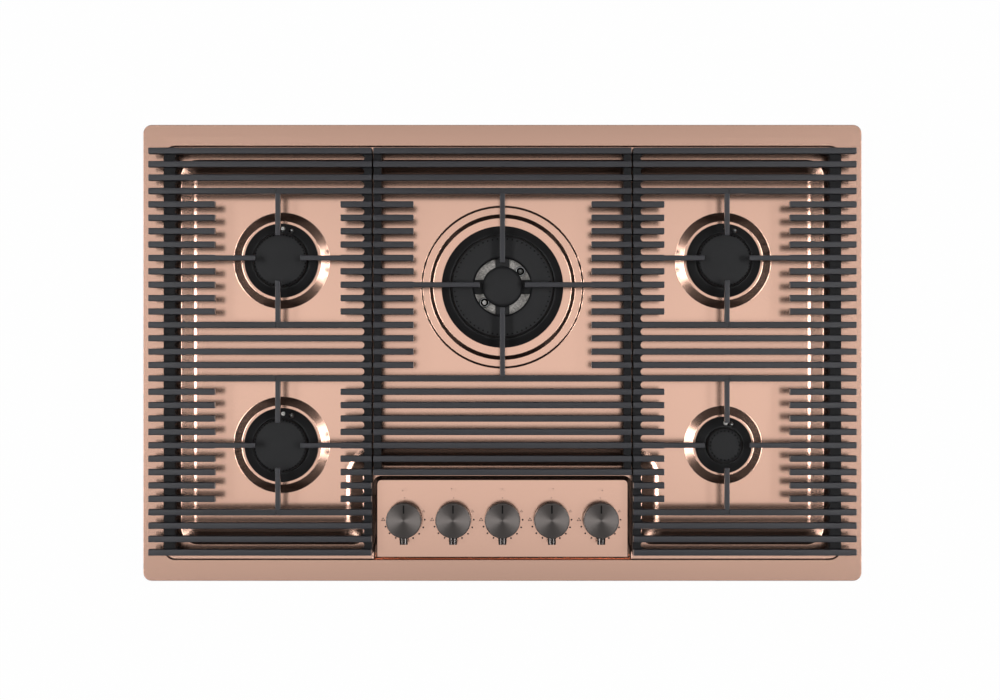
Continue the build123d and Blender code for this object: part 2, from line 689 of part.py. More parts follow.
# ---------------------------------------------------------------- small pieces at the burners
with BuildPart() as burner_screws:
    with BuildSketch(at_height(seat_z)):
        with Locations(*screw_places()):
            Circle(cup_screw_head_r)
    extrude(amount=cup_screw_head)
    with BuildSketch(at_height(seat_z - cup_screw_length)):
        with Locations(*screw_places()):
            Circle(cup_screw_r)
    extrude(amount=cup_screw_length)
save(burner_screws, "burner_screws")

with BuildPart() as injectors:
    injector_places = [(x, y) for x, y, *_ in simple_burners.values()] + [middle_injector, outer_injector]
    with BuildSketch(at_height(cup_bottom + cup_floor)):
        with Locations(*injector_places):
            RegularPolygon(injector_r, 6)
            Circle(injector_jet, mode=Mode.SUBTRACT)
    extrude(amount=injector_height)
save(injectors, "injectors")

with BuildPart() as spark_electrodes:
    electrode_places = [electrode for electrode, _ in probes]
    ceramic_top = seat_z + electrode_rise - electrode_wire
    with BuildSketch(at_height(probe_bottom)):
        with Locations(*electrode_places):
            Circle(electrode_r)
    extrude(amount=ceramic_top - probe_bottom)
    with BuildSketch(at_height(ceramic_top)):
        with Locations(*electrode_places):
            Circle(electrode_tip_r)
    extrude(amount=electrode_wire)
save(spark_electrodes, "spark_electrodes")

with BuildPart() as thermocouples:
    with BuildSketch(at_height(probe_bottom)):
        with Locations(*[thermocouple for _, thermocouple in probes]):
            Circle(thermocouple_r)
    extrude(amount=seat_z + thermocouple_rise - probe_bottom)
    fillet(edges().filter_by(GeomType.CIRCLE).group_by(Axis.Z)[-1], radius=0.8 * thermocouple_r)
save(thermocouples, "thermocouples")

# ---------------------------------------------------------------- knobs and taps
spindle_top = knob_top - knob_shell - spindle_top_gap
tail_bottom = plug_top - tail_depth
collar_z = panel_z - sheet - collar_thick - collar_clear
shoulder_z = plug_top + tail_shoulder
lever_z = knob_top - lever_drop - lever_height


def spindle_section(radius, clear):
    """Round with one flat on its front side."""
    Circle(radius + clear)
    with Locations((0, -2 * radius + spindle_flat - clear)):
        Rectangle(4 * radius, 2 * radius, mode=Mode.SUBTRACT)


for number, x in enumerate(knob_x, start=1):
    with BuildPart() as knob:
        with BuildSketch(at_height(knob_bottom)):
            with Locations((x, knob_y)):
                Circle(knob_skirt_r)
        extrude(amount=knob_skirt_height)
        with BuildSketch(at_height(knob_bottom + knob_skirt_height)):
            with Locations((x, knob_y)):
                Circle(knob_r)
        extrude(amount=knob_top - knob_bottom - knob_skirt_height)
        chamfer(edges().filter_by(GeomType.CIRCLE).group_by(Axis.Z)[-1], length=knob_edge)
        with BuildSketch(at_height(lever_z)):
            with BuildLine():
                front = knob_y - knob_r
                Polyline(
                    (x - lever_root / 2, front + lever_overlap), (x - lever_root / 2, front),
                    (x - lever_end / 2, front - lever_reach), (x + lever_end / 2, front - lever_reach),
                    (x + lever_root / 2, front), (x + lever_root / 2, front + lever_overlap), close=True)
            make_face()
        extrude(amount=lever_height)
        with BuildSketch(at_height(knob_bottom)):
            with Locations((x, knob_y)):
                Circle(knob_skirt_r - knob_shell)
                Circle(knob_hub_r, mode=Mode.SUBTRACT)
        extrude(amount=knob_top - knob_shell - knob_bottom, mode=Mode.SUBTRACT)
        with BuildSketch(at_height(knob_bottom)):
            with Locations((x, knob_y)):
                spindle_section(spindle_r, fit)
        extrude(amount=spindle_top + fit - knob_bottom, mode=Mode.SUBTRACT)
        with BuildSketch(at_height(knob_top)):
            with Locations((x, knob_y + knob_r - index_inset - index_length / 2)):
                SlotOverall(index_length, index_width, rotation=90)
        extrude(amount=-index_depth, mode=Mode.SUBTRACT)
    save(knob, f"knob_{number}")

    with BuildPart() as tap_spindle:
        with BuildSketch(at_height(shoulder_z)):
            with Locations((x, knob_y)):
                Circle(spindle_r)
        extrude(amount=knob_bottom - shoulder_z)
        with BuildSketch(at_height(knob_bottom)):
            with Locations((x, knob_y)):
                spindle_section(spindle_r, 0)
        extrude(amount=spindle_top - knob_bottom)
        with BuildSketch(at_height(tail_bottom)):
            with Locations((x, knob_y)):
                Circle(spindle_tail_r)
        extrude(amount=shoulder_z - tail_bottom)
        with BuildSketch(at_height(collar_z)):
            with Locations((x, knob_y)):
                Circle(collar_r)
        extrude(amount=collar_thick)
    save(tap_spindle, f"tap_spindle_{number}")

    with BuildPart() as tap_plug:
        with Locations((x, knob_y, plug_bottom)):
            Cone(
                plug_r_bottom, plug_r_top, plug_top - push_travel - plug_bottom,
                align=(Align.CENTER, Align.CENTER, Align.MIN))
        with BuildSketch(at_height(tail_bottom - push_travel - tail_shoulder)):
            with Locations((x, knob_y)):
                Circle(spindle_tail_r + spindle_clear)
        extrude(amount=plug_top, mode=Mode.SUBTRACT)
    save(tap_plug, f"tap_plug_{number}")

    with BuildPart() as tap_spring:
        coil_r = spindle_r + spring_gap + spring_wire / 2
        coil_bottom = tap_top + bonnet_height + spring_wire / 2 + fit
        coil_height = collar_z - tap_top - bonnet_height - spring_wire - 2 * fit
        with BuildLine():
            coil = Helix(coil_height / spring_turns, coil_height, coil_r, center=(x, knob_y, coil_bottom))
        with BuildSketch(Plane(origin=coil @ 0, z_dir=coil % 0)):
            Circle(spring_wire / 2)
        sweep()
    save(tap_spring, f"tap_spring_{number}")

tap_places = [(x, knob_y) for x in knob_x]
with BuildPart() as tap_bodies:
    with BuildSketch(at_height(tap_bottom)):
        with Locations(*tap_places):
            Circle(tap_r)
    extrude(amount=tap_top - tap_bottom)
    with BuildSketch(at_height(rail_z - tap_boss / 2)):
        with Locations(*[(x, (knob_y + rail_y - rail_size / 2) / 2) for x in knob_x]):
            Rectangle(tap_boss, rail_y - rail_size / 2 - knob_y)
    extrude(amount=tap_boss)
    with BuildSketch(Plane.XZ.offset(-knob_y)):
        with Locations(*[(x, pipe_z) for x in knob_x]):
            Circle(outlet_r)
    extrude(amount=-outlet_length)
    for x in knob_x:
        with Locations((x, knob_y, plug_bottom)):
            Cone(
                plug_r_bottom + spindle_clear, plug_r_top + spindle_clear,
                plug_top - push_travel - plug_bottom,
                align=(Align.CENTER, Align.CENTER, Align.MIN), mode=Mode.SUBTRACT)
    with BuildSketch(at_height(plug_top - push_travel)):
        with Locations(*tap_places):
            Circle(plug_r_top + spindle_clear)
    extrude(amount=tap_top - plug_top + push_travel, mode=Mode.SUBTRACT)
    with BuildSketch(Plane.XZ.offset(-rail_y + rail_size / 2)):
        with Locations(*[(x, rail_z) for x in knob_x]):
            Circle(pipe_bore)
    extrude(amount=rail_y - rail_size / 2 - knob_y, mode=Mode.SUBTRACT)
    with BuildSketch(Plane.XZ.offset(-knob_y - outlet_length)):
        with Locations(*[(x, pipe_z) for x in knob_x]):
            Circle(pipe_bore)
    extrude(amount=outlet_length, mode=Mode.SUBTRACT)
save(tap_bodies, "tap_bodies")

with BuildPart() as tap_bonnets:
    with BuildSketch(at_height(tap_top)):
        with Locations(*tap_places):
            RectangleRounded(bonnet_length, bonnet_width, bonnet_corner)
            Circle(spindle_r + spindle_clear, mode=Mode.SUBTRACT)
    extrude(amount=bonnet_height)
save(tap_bonnets, "tap_bonnets")

with BuildPart() as knob_seals:
    with BuildSketch(at_height(panel_z)):
        with Locations(*tap_places):
            Circle(seal_r)
            Circle(spindle_r + seal_clear, mode=Mode.SUBTRACT)
    extrude(amount=seal_height)
    chamfer(faces().filter_by(GeomType.CYLINDER).edges().group_by(Axis.Z)[-1].filter_by(
        lambda edge: abs(edge.radius - seal_r) < 0.01), length=seal_height / 3)
save(knob_seals, "knob_seals")

# ---------------------------------------------------------------- gas rail, pipes and inlet
rail_left = knob_x[0] - tap_boss
rail_right = inlet_x + rail_size / 2
with BuildPart() as gas_rail:
    with BuildSketch(Plane.YZ.offset(rail_left)):
        with Locations((rail_y, rail_z)):
            Rectangle(rail_size, rail_size)
    extrude(amount=rail_right - rail_left)
    with BuildSketch(Plane.YZ.offset(rail_left + rail_wall)):
        with Locations((rail_y, rail_z)):
            Circle(rail_size / 2 - rail_wall)
    extrude(amount=rail_right - rail_left - 2 * rail_wall, mode=Mode.SUBTRACT)
    with BuildSketch(Plane.XZ.offset(-rail_y)):
        with Locations(*[(x, rail_z) for x in knob_x]):
            Circle(pipe_bore)
    extrude(amount=rail_size / 2, mode=Mode.SUBTRACT)
    with BuildSketch(Plane.XZ.offset(-rail_y)):
        with Locations((inlet_x, rail_z)):
            Circle(feed_pipe_bore)
    extrude(amount=-rail_size / 2, mode=Mode.SUBTRACT)
save(gas_rail, "gas_rail")

with BuildPart() as feed_pipe:
    with BuildSketch(Plane.XZ.offset(-rail_y - rail_size / 2)):
        with Locations((inlet_x, rail_z)):
            Circle(feed_pipe_r)
            Circle(feed_pipe_bore, mode=Mode.SUBTRACT)
    extrude(amount=-(inlet_y - inlet_block / 2 - rail_y - rail_size / 2))
save(feed_pipe, "feed_pipe")

with BuildPart() as gas_inlet_elbow:
    with BuildSketch(at_height(pocket_height - inlet_length)):
        with Locations((inlet_x, inlet_y)):
            Circle(inlet_r)
    extrude(amount=inlet_length + casing_wall)
    with BuildSketch(at_height(pocket_height - inlet_collar)):
        with Locations((inlet_x, inlet_y)):
            Circle(inlet_collar_r)
    extrude(amount=inlet_collar + casing_wall)
    with BuildSketch(at_height(pocket_height + casing_wall)):
        with Locations((inlet_x, inlet_y)):
            Rectangle(inlet_block, inlet_block)
    extrude(amount=2 * (rail_z - pocket_height - casing_wall))
    with BuildSketch(at_height(pocket_height - inlet_length)):
        with Locations((inlet_x, inlet_y)):
            Circle(inlet_bore)
    extrude(amount=rail_z + feed_pipe_bore - pocket_height + inlet_length, mode=Mode.SUBTRACT)
    with BuildSketch(Plane.XZ.offset(-inlet_y)):
        with Locations((inlet_x, rail_z)):
            Circle(feed_pipe_bore)
    extrude(amount=inlet_block, mode=Mode.SUBTRACT)
save(gas_inlet_elbow, "gas_inlet_elbow")


def gas_pipe(points):
    """A bent tube from a tap's outlet to a cup's gas boss."""
    with BuildLine() as route:
        if len(points) > 2:
            FilletPolyline(*points, radius=pipe_bend)
        else:
            Line(*points)
    with BuildSketch(Plane(origin=points[0], x_dir=(1, 0, 0), z_dir=(0, 1, 0))) as section:
        Circle(pipe_r)
        Circle(pipe_bore, mode=Mode.SUBTRACT)
    sweep(section.sketch, path=route.line)


outlet_y = knob_y + outlet_length
outer_pipe_y = knob_y + outer_pipe_offset
pipe_routes = []
for name, place, run_y in (
    ("front_left", 0, outer_pipe_y), ("rear_left", 1, inner_pipe_y),
    ("rear_right", 3, inner_pipe_y), ("front_right", 4, outer_pipe_y),
):
    x, y, _, cap, _, _, _ = simple_burners[name]
    boss_y = y - (cap - cup_inset) - cup_boss_length
    pipe_routes.append([
        (knob_x[place], outlet_y, pipe_z), (knob_x[place], run_y, pipe_z), (x, run_y, pipe_z),
        (x, boss_y, pipe_z)])
pipe_routes.append([
    (knob_x[2], outlet_y, pipe_z), (0, triple_y - triple_cup - cup_boss_length, pipe_z)])

with BuildPart() as burner_pipes:
    for points in pipe_routes:
        gas_pipe(points)
save(burner_pipes, "burner_pipes")

# ---------------------------------------------------------------- electrical pieces
with BuildPart() as cable_gland:
    with BuildSketch(at_height(pocket_height - gland_flange)):
        with Locations((gland_x, inlet_y)):
            Circle(gland_flange_r)
    extrude(amount=gland_flange)
    with BuildSketch(at_height(pocket_height + casing_wall + gland_flange - gland_length)):
        with Locations((gland_x, inlet_y)):
            Circle(gland_r)
    extrude(amount=gland_length)
    with BuildSketch(at_height(pocket_height + casing_wall + gland_flange - gland_length)):
        with Locations((gland_x, inlet_y)):
            Circle(gland_bore)
    extrude(amount=gland_length, mode=Mode.SUBTRACT)
save(cable_gland, "cable_gland")

module_x = module_side - casing_inner_length / 2
module_y = casing_inner_depth / 2 - module_rear
with BuildPart() as ignition_module:
    with BuildSketch(at_height(casing_wall)):
        with Locations((module_x, module_y)):
            RectangleRounded(module_length, module_width, module_corner)
    extrude(amount=module_height)
    fillet(edges().group_by(Axis.Z)[-1], radius=module_edge)
    with BuildSketch(at_height(casing_wall)):
        with Locations((module_x, module_y)):
            SlotOverall(module_length + 2 * module_lug, module_lug)
            with GridLocations(module_length + module_lug, 0, 2, 1):
                Circle(cup_screw_r + fit, mode=Mode.SUBTRACT)
    extrude(amount=module_foot)
    with BuildSketch(at_height(casing_wall + module_height)):
        with Locations((module_x, module_y)):
            with GridLocations(terminal_pitch, 0, terminal_count, 1):
                Rectangle(terminal_width, module_width / 2)
    extrude(amount=terminal_height)
save(ignition_module, "ignition_module")

# ---------------------------------------------------------------- clamps that hold the worktop
clamp_places = [(x, side) for side in (-1, 1) for x in (-clamp_x, 0, clamp_x)]
clamp_screw_places = [(x, side * (casing_width / 2 + clamp_hole)) for x, side in clamp_places]
with BuildPart() as clamp_brackets:
    with BuildSketch(at_height(clamp_lift)):
        with Locations(*[(x, side * (casing_width / 2 + clamp_arm / 2)) for x, side in clamp_places]):
            Rectangle(clamp_width, clamp_arm)
        with Locations(*clamp_screw_places):
            Circle(clamp_screw_r + fit, mode=Mode.SUBTRACT)
    extrude(amount=clamp_sheet)
    with BuildSketch(at_height(clamp_lift)):
        with Locations(*[(x, side * (casing_width / 2 + clamp_sheet / 2)) for x, side in clamp_places]):
            Rectangle(clamp_width, clamp_sheet)
    extrude(amount=clamp_leg)
save(clamp_brackets, "clamp_brackets")

with BuildPart() as clamp_screws:
    with BuildSketch(at_height(clamp_lift - clamp_screw_head)):
        with Locations(*clamp_screw_places):
            RegularPolygon(clamp_screw_head_r, 6)
    extrude(amount=clamp_screw_head)
    with BuildSketch(at_height(clamp_lift)):
        with Locations(*clamp_screw_places):
            Circle(clamp_screw_r)
    extrude(amount=clamp_screw_top - clamp_lift)
save(clamp_screws, "clamp_screws")
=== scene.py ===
import json
from contextlib import contextmanager
from math import atan, cos, pi, radians, sin, tau

import bmesh
import bpy
from mathutils import Matrix, Vector


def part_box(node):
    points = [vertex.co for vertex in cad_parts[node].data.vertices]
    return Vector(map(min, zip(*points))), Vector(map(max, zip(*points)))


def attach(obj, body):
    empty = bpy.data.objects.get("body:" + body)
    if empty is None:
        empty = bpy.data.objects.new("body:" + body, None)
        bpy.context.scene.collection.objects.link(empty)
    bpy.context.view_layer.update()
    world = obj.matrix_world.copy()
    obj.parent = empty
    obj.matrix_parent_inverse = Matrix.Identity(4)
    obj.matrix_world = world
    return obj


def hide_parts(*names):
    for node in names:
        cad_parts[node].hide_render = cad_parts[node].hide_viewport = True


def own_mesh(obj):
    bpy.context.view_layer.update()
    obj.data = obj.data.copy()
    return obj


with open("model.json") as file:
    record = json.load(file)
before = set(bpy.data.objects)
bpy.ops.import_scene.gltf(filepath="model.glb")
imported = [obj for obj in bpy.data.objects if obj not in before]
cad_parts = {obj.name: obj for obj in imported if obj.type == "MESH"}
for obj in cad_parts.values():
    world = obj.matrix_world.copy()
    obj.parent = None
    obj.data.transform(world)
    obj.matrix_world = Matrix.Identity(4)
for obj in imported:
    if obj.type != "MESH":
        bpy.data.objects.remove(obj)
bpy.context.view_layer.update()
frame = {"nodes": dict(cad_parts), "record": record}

bl_info = {
    "name": "Gas cooktop",
    "version": (1, 0, 0),
    "blender": (4, 5, 0),
    "location": "View3D > Sidebar > Cooktop",
    "description": "Dresses a packed five-burner gas cooktop in pressed copper, cast iron and enamel",
    "category": "Object",
}

MM = 0.001
merge_distance = 0.02 * MM   # points of the deck that are nearer than this are one


def middle(node):
    """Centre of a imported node's box."""
    low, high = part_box(node)
    return (low + high) / 2


def half_width(node):
    """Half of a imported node's width, which is the radius of a round one."""
    low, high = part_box(node)
    return (high.x - low.x) / 2


corners = ("rear_left", "front_left", "rear_right", "front_right")
burner_names = (*corners, "centre")
burner_at = {name: middle(f"burner_cap_{name}").xy for name in burner_names}
ring_radius = {name: half_width(f"burner_head_{name}") for name in burner_names}
cap_radius = {name: half_width(f"burner_cap_{name}") for name in burner_names}
rim_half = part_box("top_deck")[1]
rim_z = rim_half.z
support_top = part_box("pan_support_centre")[1].z
knob_low, knob_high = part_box("knob_3")
knob_count = 5
probe_hole = 2.9 * MM                 # radius round an electrode or a thermocouple
middle_cup = 60.5 * MM                # radius of the middle burner's cup in the deck
middle_step = 1.2 * MM                # low step round the middle burner's seat
half_view, focal_length = 500, 1790   # of the studio camera, in pixels of its picture


# ---------------------------------------------------------------- sizes and colours
def length(name, description, default):
    """A length that a user can set."""
    return bpy.props.FloatProperty(name=name, description=description, default=default, unit="LENGTH")


def number(name, description, default):
    """A plain number that a user can set."""
    return bpy.props.FloatProperty(name=name, description=description, default=default)


def colour(name, description, default):
    """A colour that a user can set."""
    return bpy.props.FloatVectorProperty(
        name=name, description=description, default=default, subtype="COLOR", min=0, max=1)


class DeckSizes(bpy.types.PropertyGroup):
    sheet: length("Sheet", "Thickness of the pressed steel", 1.2 * MM)
    rim_corner: length("Rim corner", "Corner radius of the rim", 10 * MM)
    rim_skirt: length("Rim skirt", "Height of the rim's turned-down edge", 3.8 * MM)
    well_x: length("Well half length", "From the middle to the well's end wall", 405 * MM)
    well_y: length("Well half depth", "From the middle to the well's rear wall", 247.5 * MM)
    well_corner: length("Well corner", "Corner radius of the well's wall", 13 * MM)
    shelf_drop: length("Shelf drop", "Shelf below the rim", 4 * MM)
    floor_drop: length("Floor drop", "Floor below the shelf", 8 * MM)
    slope_run: length("Slope run", "Sloped wall seen from above", 18 * MM)
    shelf_x: length("Shelf end", "Inner edge of the shelf at the ends", 385 * MM)
    shelf_rear: length("Shelf rear", "Inner edge of the shelf at the rear", 231.7 * MM)
    shelf_front: length("Shelf front", "Inner edge of the shelf at the front", 230 * MM)
    notch_x: length("Notch side", "Shelf edge beside the control panel", 166.9 * MM)
    notch_y: length("Notch rear", "Shelf edge behind the control panel, before the middle", 135.5 * MM)
    panel_x: length("Panel half length", "From the middle to the control panel's end", 150.4 * MM)
    panel_y: length("Panel rear", "Control panel's rear edge, before the middle", 152 * MM)
    panel_slope: length("Panel slope", "Sloped border of the control panel", 4.5 * MM)
    panel_front: length("Panel front", "Sloped edge between the control panel and the rim", 2.6 * MM)
    panel_rise: length("Panel rise", "Control panel above the shelf", 3 * MM)
    panel_corner: length("Panel corner", "Corner radius of the control panel", 5.5 * MM)
    seat_rise: length("Seat rise", "Burner seats above the floor", 3.5 * MM)
    seat_margin: length("Seat margin", "Foot of a seat outside the burner's ring", 13.3 * MM)
    small_seat_margin: length("Small seat margin", "The same at the auxiliary burner", 12.8 * MM)
    seat_run: length("Seat slope", "Conical side of a seat seen from above", 10 * MM)


class SupportSizes(bpy.types.PropertyGroup):
    bar_width: length("Bar width", "Width of a bar", 7.4 * MM)
    bar_height: length("Bar height", "Height of a bar", 9 * MM)
    rounding: length("Rounding", "Rounded edges of the casting", 0.9 * MM)
    row_pitch: length("Row pitch", "From bar to bar", 15.82 * MM)
    finger_width: length("Finger width", "Width of a finger", 6 * MM)
    finger_tip: length("Finger tip", "From a burner's middle to the finger tips", 26.6 * MM)
    side_reach: length("Side comb", "From a corner burner's middle to the comb tips", 74 * MM)
    middle_reach: length("Middle comb", "From the middle burner's middle to the comb tips", 105 * MM)
    rail_height: length("Rail height", "Height of a rail", 14 * MM)
    rail_sink: length("Rail sink", "Rail below the bars' tops", 7 * MM)
    outer_rail: length("Outer rail", "Width of the outer rail", 13 * MM)
    inner_rail: length("Inner rail", "Width of the rail beside the gap", 9.1 * MM)
    rail_high_x: length("Rail place", "Outer side of the outer rail", 401 * MM)
    rail_hollow: length("Rail hollow", "Depth of the rounded hollows between bars", 4.2 * MM)
    foot_length: length("Foot length", "Length of a foot along the rail", 8 * MM)
    foot_bottom: length("Foot bottom", "Height of the feet's undersides", 53 * MM)


class BurnerSizes(bpy.types.PropertyGroup):
    port: length("Port", "Radius of a flame port", 1.1 * MM)
    port_inset: length("Port inset", "Ports inside a cap's edge", 2.2 * MM)
    small_port_inset: length("Small port inset", "The same on the auxiliary burner", 3.85 * MM)
    rounding: length("Rounding", "Rounded edges of rings and caps", 0.5 * MM)
    hub_cap: length("Hub cap", "Radius of the middle burner's inner cap", 24.2 * MM)
    bridge: length("Bridge", "Width of the bridges between ring and hub", 17 * MM)


class KnobSizes(bpy.types.PropertyGroup):
    body: length("Body", "Radius of a knob", 21 * MM)
    skirt: length("Skirt", "Radius of a knob's foot", 19.6 * MM)
    skirt_height: length("Skirt height", "Height of a knob's foot", 3 * MM)
    edge: length("Edge", "Bevelled upper edge", 1.0 * MM)
    lever_reach: length("Lever", "Lever tab in front of the knob", 7.6 * MM)
    lever_root: length("Lever root", "Width of the tab at the knob", 10.4 * MM)
    lever_end: length("Lever end", "Width of the tab at its end", 9.3 * MM)
    index_length: length("Index length", "Length of the index slot", 10 * MM)
    index_width: length("Index width", "Width of the index slot", 1.8 * MM)
    mark_circle: length("Mark circle", "Radius of the printed marks round a knob", 24.2 * MM)


class Colours(bpy.types.PropertyGroup):
    copper: colour("Copper", "Satin copper of the deck", (0.80, 0.50, 0.385))
    iron: colour("Iron", "Satin enamel of the pan supports", (0.022, 0.022, 0.027))
    enamel: colour("Enamel", "Matt black enamel of rings and caps", (0.011, 0.011, 0.012))
    gunmetal: colour("Gunmetal", "Turned metal of the knobs", (0.115, 0.103, 0.098))
    castings: colour("Cast aluminium", "Burner cups", (0.50, 0.48, 0.455))
    steel: colour("Steel", "Casing and fixings", (0.55, 0.56, 0.58))
    brass: colour("Brass", "Taps and injectors", (0.78, 0.56, 0.24))
    print_ink: colour("Print", "Printed marks", (0.03, 0.012, 0.009))


class StudioSettings(bpy.types.PropertyGroup):
    camera_height: length("Camera height", "Camera above the cooktop's underside", 2198 * MM)
    camera_x: length("Camera X", "Camera to the right of the middle", -2.9 * MM)
    camera_y: length("Camera Y", "Camera behind the middle", 3.4 * MM)
    view_width: bpy.props.FloatProperty(
        name="View width", description="Width of the view", default=2 * atan(half_view / focal_length),
        subtype="ANGLE")
    ceiling: number("Ceiling", "Brightness of the ceiling panel", 1.0)
    ceiling_x: number("Ceiling length", "Half length of the ceiling panel over its height", 0.225)
    ceiling_y: number("Ceiling depth", "Half depth of the ceiling panel over its height", 0.15)
    softboxes: number("Softboxes", "Brightness of the side boxes", 10.0)
    softbox_near: number("Softbox start", "Inner edge of the side boxes over their height", 0.36)
    softbox_far: number("Softbox end", "Outer edge of the side boxes over their height", 0.6)
    softbox_y: number("Softbox depth", "Half depth of the side boxes over their height", 0.24)
    surround: number("Surround", "Brightness of the dark room", 0.05)
    horizon: number("Horizon", "Brightness near the horizon", 0.9)


# ---------------------------------------------------------------- modelling by hand
def select_pieces(*pieces):
    """Selects these pieces alone and makes the first one active."""
    bpy.ops.object.select_all(action="DESELECT")
    for piece in pieces:
        piece.select_set(True)
    bpy.context.view_layer.objects.active = pieces[0]


@contextmanager
def editing(piece):
    """Edit mode on one piece."""
    select_pieces(piece)
    bpy.ops.object.mode_set(mode="EDIT")
    bpy.ops.mesh.select_mode(type="VERT")
    yield
    bpy.ops.object.mode_set(mode="OBJECT")


def select(kind, test):
    """Selects the vertices, edges or faces, in edit mode, that pass a test. Returns their number."""
    bpy.ops.mesh.select_mode(type=kind)
    bpy.ops.mesh.select_all(action="DESELECT")
    shape = bmesh.from_edit_mesh(bpy.context.edit_object.data)
    parts = {"VERT": shape.verts, "EDGE": shape.edges, "FACE": shape.faces}[kind]
    chosen = [part for part in parts if test(part)]
    for part in chosen:
        part.select_set(True)
    shape.select_flush_mode()
    bmesh.update_edit_mesh(bpy.context.edit_object.data)
    return len(chosen)


def select_everything():
    """Selects the whole mesh, in edit mode."""
    bpy.ops.mesh.select_all(action="SELECT")


def selected_normal():
    """Upward or downward direction, 1 or -1, of the selected faces."""
    shape = bmesh.from_edit_mesh(bpy.context.edit_object.data)
    return 1 if sum(face.normal.z for face in shape.faces if face.select) >= 0 else -1


def at_level(part, z):
    """Whether an edge or a face lies at a height."""
    return all(abs(corner.co.z - z) < merge_distance for corner in part.verts)


def new_piece(add, name, place=(0, 0, 0), **settings):
    """A primitive at its place, with its object at the origin."""
    bpy.ops.object.select_all(action="DESELECT")
    add(location=place, **settings)
    piece = bpy.context.object
    piece.name = piece.data.name = name
    bpy.ops.object.transform_apply(location=True, rotation=True, scale=True)
    return piece


def drawn_line(name, points, closed):
    """A line through the points, drawn by extruding one vertex on and on."""
    piece = new_piece(bpy.ops.mesh.primitive_plane_add, name, size=MM)
    points = [Vector(point) for point in points]
    with editing(piece):
        select_everything()
        bpy.ops.mesh.merge(type="CENTER")
        bpy.ops.transform.translate(value=points[0])
        for here, there in zip(points, points[1:]):
            bpy.ops.mesh.extrude_region_move(TRANSFORM_OT_translate={"value": there - here})
        select_everything()
        if closed:
            bpy.ops.mesh.edge_face_add()
    return piece


def round_corners(places, radius):
    """In edit mode, rounds the corners of a flat outline that stand at the places."""
    spots = [Vector(place).xy for place in places]
    select("VERT", lambda v: any((v.co.xy - spot).length < 0.01 * MM for spot in spots))
    bpy.ops.mesh.bevel(offset=radius, affect="VERTICES", segments=6, profile=0.5)


def outline(name, points, z, rounded=()):
    """A flat face inside a drawn outline, facing up. Rounded corners are (places, radius) pairs."""
    piece = drawn_line(name, [(x, y, z) for x, y in points], closed=True)
    with editing(piece):
        for places, radius in rounded:
            round_corners(places, radius)
        select_everything()
        if selected_normal() < 0:
            bpy.ops.mesh.flip_normals()
    return piece


def edges_only(piece):
    """Takes the face out of an outline and leaves its edges."""
    with editing(piece):
        select_everything()
        bpy.ops.mesh.delete(type="ONLY_FACE")
    return piece


def joined(name, pieces):
    """Several pieces made one mesh."""
    select_pieces(*pieces)
    bpy.ops.object.join()
    pieces[0].name = pieces[0].data.name = name
    return pieces[0]


def copied(piece, shift, name):
    """A copy of a piece with a mesh of its own, moved by a shift."""
    copy = piece.copy()
    copy.data = piece.data.copy()
    copy.name = copy.data.name = name
    bpy.context.collection.objects.link(copy)
    copy.data.transform(Matrix.Translation(shift))
    return copy


def worked(piece, kind, **settings):
    """Adds a modifier to a piece and applies it."""
    select_pieces(piece)
    modifier = piece.modifiers.new(kind.title(), kind)
    for setting, value in settings.items():
        setattr(modifier, setting, value)
    bpy.ops.object.modifier_apply(modifier=modifier.name)


def cut(piece, cutter):
    """Cuts one piece with another, which is used up."""
    worked(piece, "BOOLEAN", object=cutter, operation="DIFFERENCE", solver="EXACT", material_mode="TRANSFER")
    bpy.data.objects.remove(cutter)


def softened(piece, width, angle=40):
    """Rounds all sharp edges of a piece."""
    worked(piece, "BEVEL", width=width, segments=2, limit_method="ANGLE", angle_limit=radians(angle))


def smoothed(piece, angle=35):
    """Smooth shading that keeps flat faces flat."""
    select_pieces(piece)
    bpy.ops.object.shade_smooth_by_angle(angle=radians(angle))
    worked(piece, "WEIGHTED_NORMAL", mode="FACE_AREA", weight=50, keep_sharp=True)


def tidied():
    """In edit mode, merges doubles and turns the faces outwards."""
    select_everything()
    bpy.ops.mesh.remove_doubles(threshold=0.005 * MM)
    bpy.ops.mesh.normals_make_consistent(inside=False)


def turned(name, x, y, profile, steps=96):
    """A solid turned about the vertical through (x, y). The profile holds (radius, height) points; one that
    starts and ends away from the axis is closed into a ring."""
    is_ring = profile[0][0] > 0 and profile[-1][0] > 0
    points = [(x + radius, y, z) for radius, z in profile]
    piece = drawn_line(name, points, closed=is_ring)
    with editing(piece):
        select_everything()
        if is_ring:
            bpy.ops.mesh.delete(type="ONLY_FACE")
            select_everything()
        bpy.ops.mesh.spin(steps=steps, angle=tau, center=(x, y, 0), axis=(0, 0, 1))
        tidied()
    return piece


def block(name, low, high, rounding=0):
    """A block between two corners, with rounded edges."""
    low, high = Vector(low), Vector(high)
    piece = new_piece(
        bpy.ops.mesh.primitive_cube_add, name, place=(low + high) / 2, size=1, scale=high - low)
    if rounding:
        with editing(piece):
            select_everything()
            bpy.ops.mesh.bevel(offset=rounding, segments=2, affect="EDGES")
    return piece


def pins(name, places, radius, low, high, sides=16):
    """A group of upright cylinders, one modelled and the others copied."""
    x, y = places[0]
    first = new_piece(
        bpy.ops.mesh.primitive_cylinder_add, name, place=(x, y, (low + high) / 2),
        vertices=sides, radius=radius, depth=high - low)
    others = [copied(first, (px - x, py - y, 0), name) for px, py in places[1:]]
    return joined(name, [first, *others])


def around(centre, radius, angles):
    """Places on a circle, their angles in degrees from +X towards the rear."""
    return [(centre[0] + radius * cos(radians(a)), centre[1] + radius * sin(radians(a))) for a in angles]


def evenly(count):
    """Equally spaced angles round a circle, in degrees."""
    return [360 * i / count for i in range(count)]


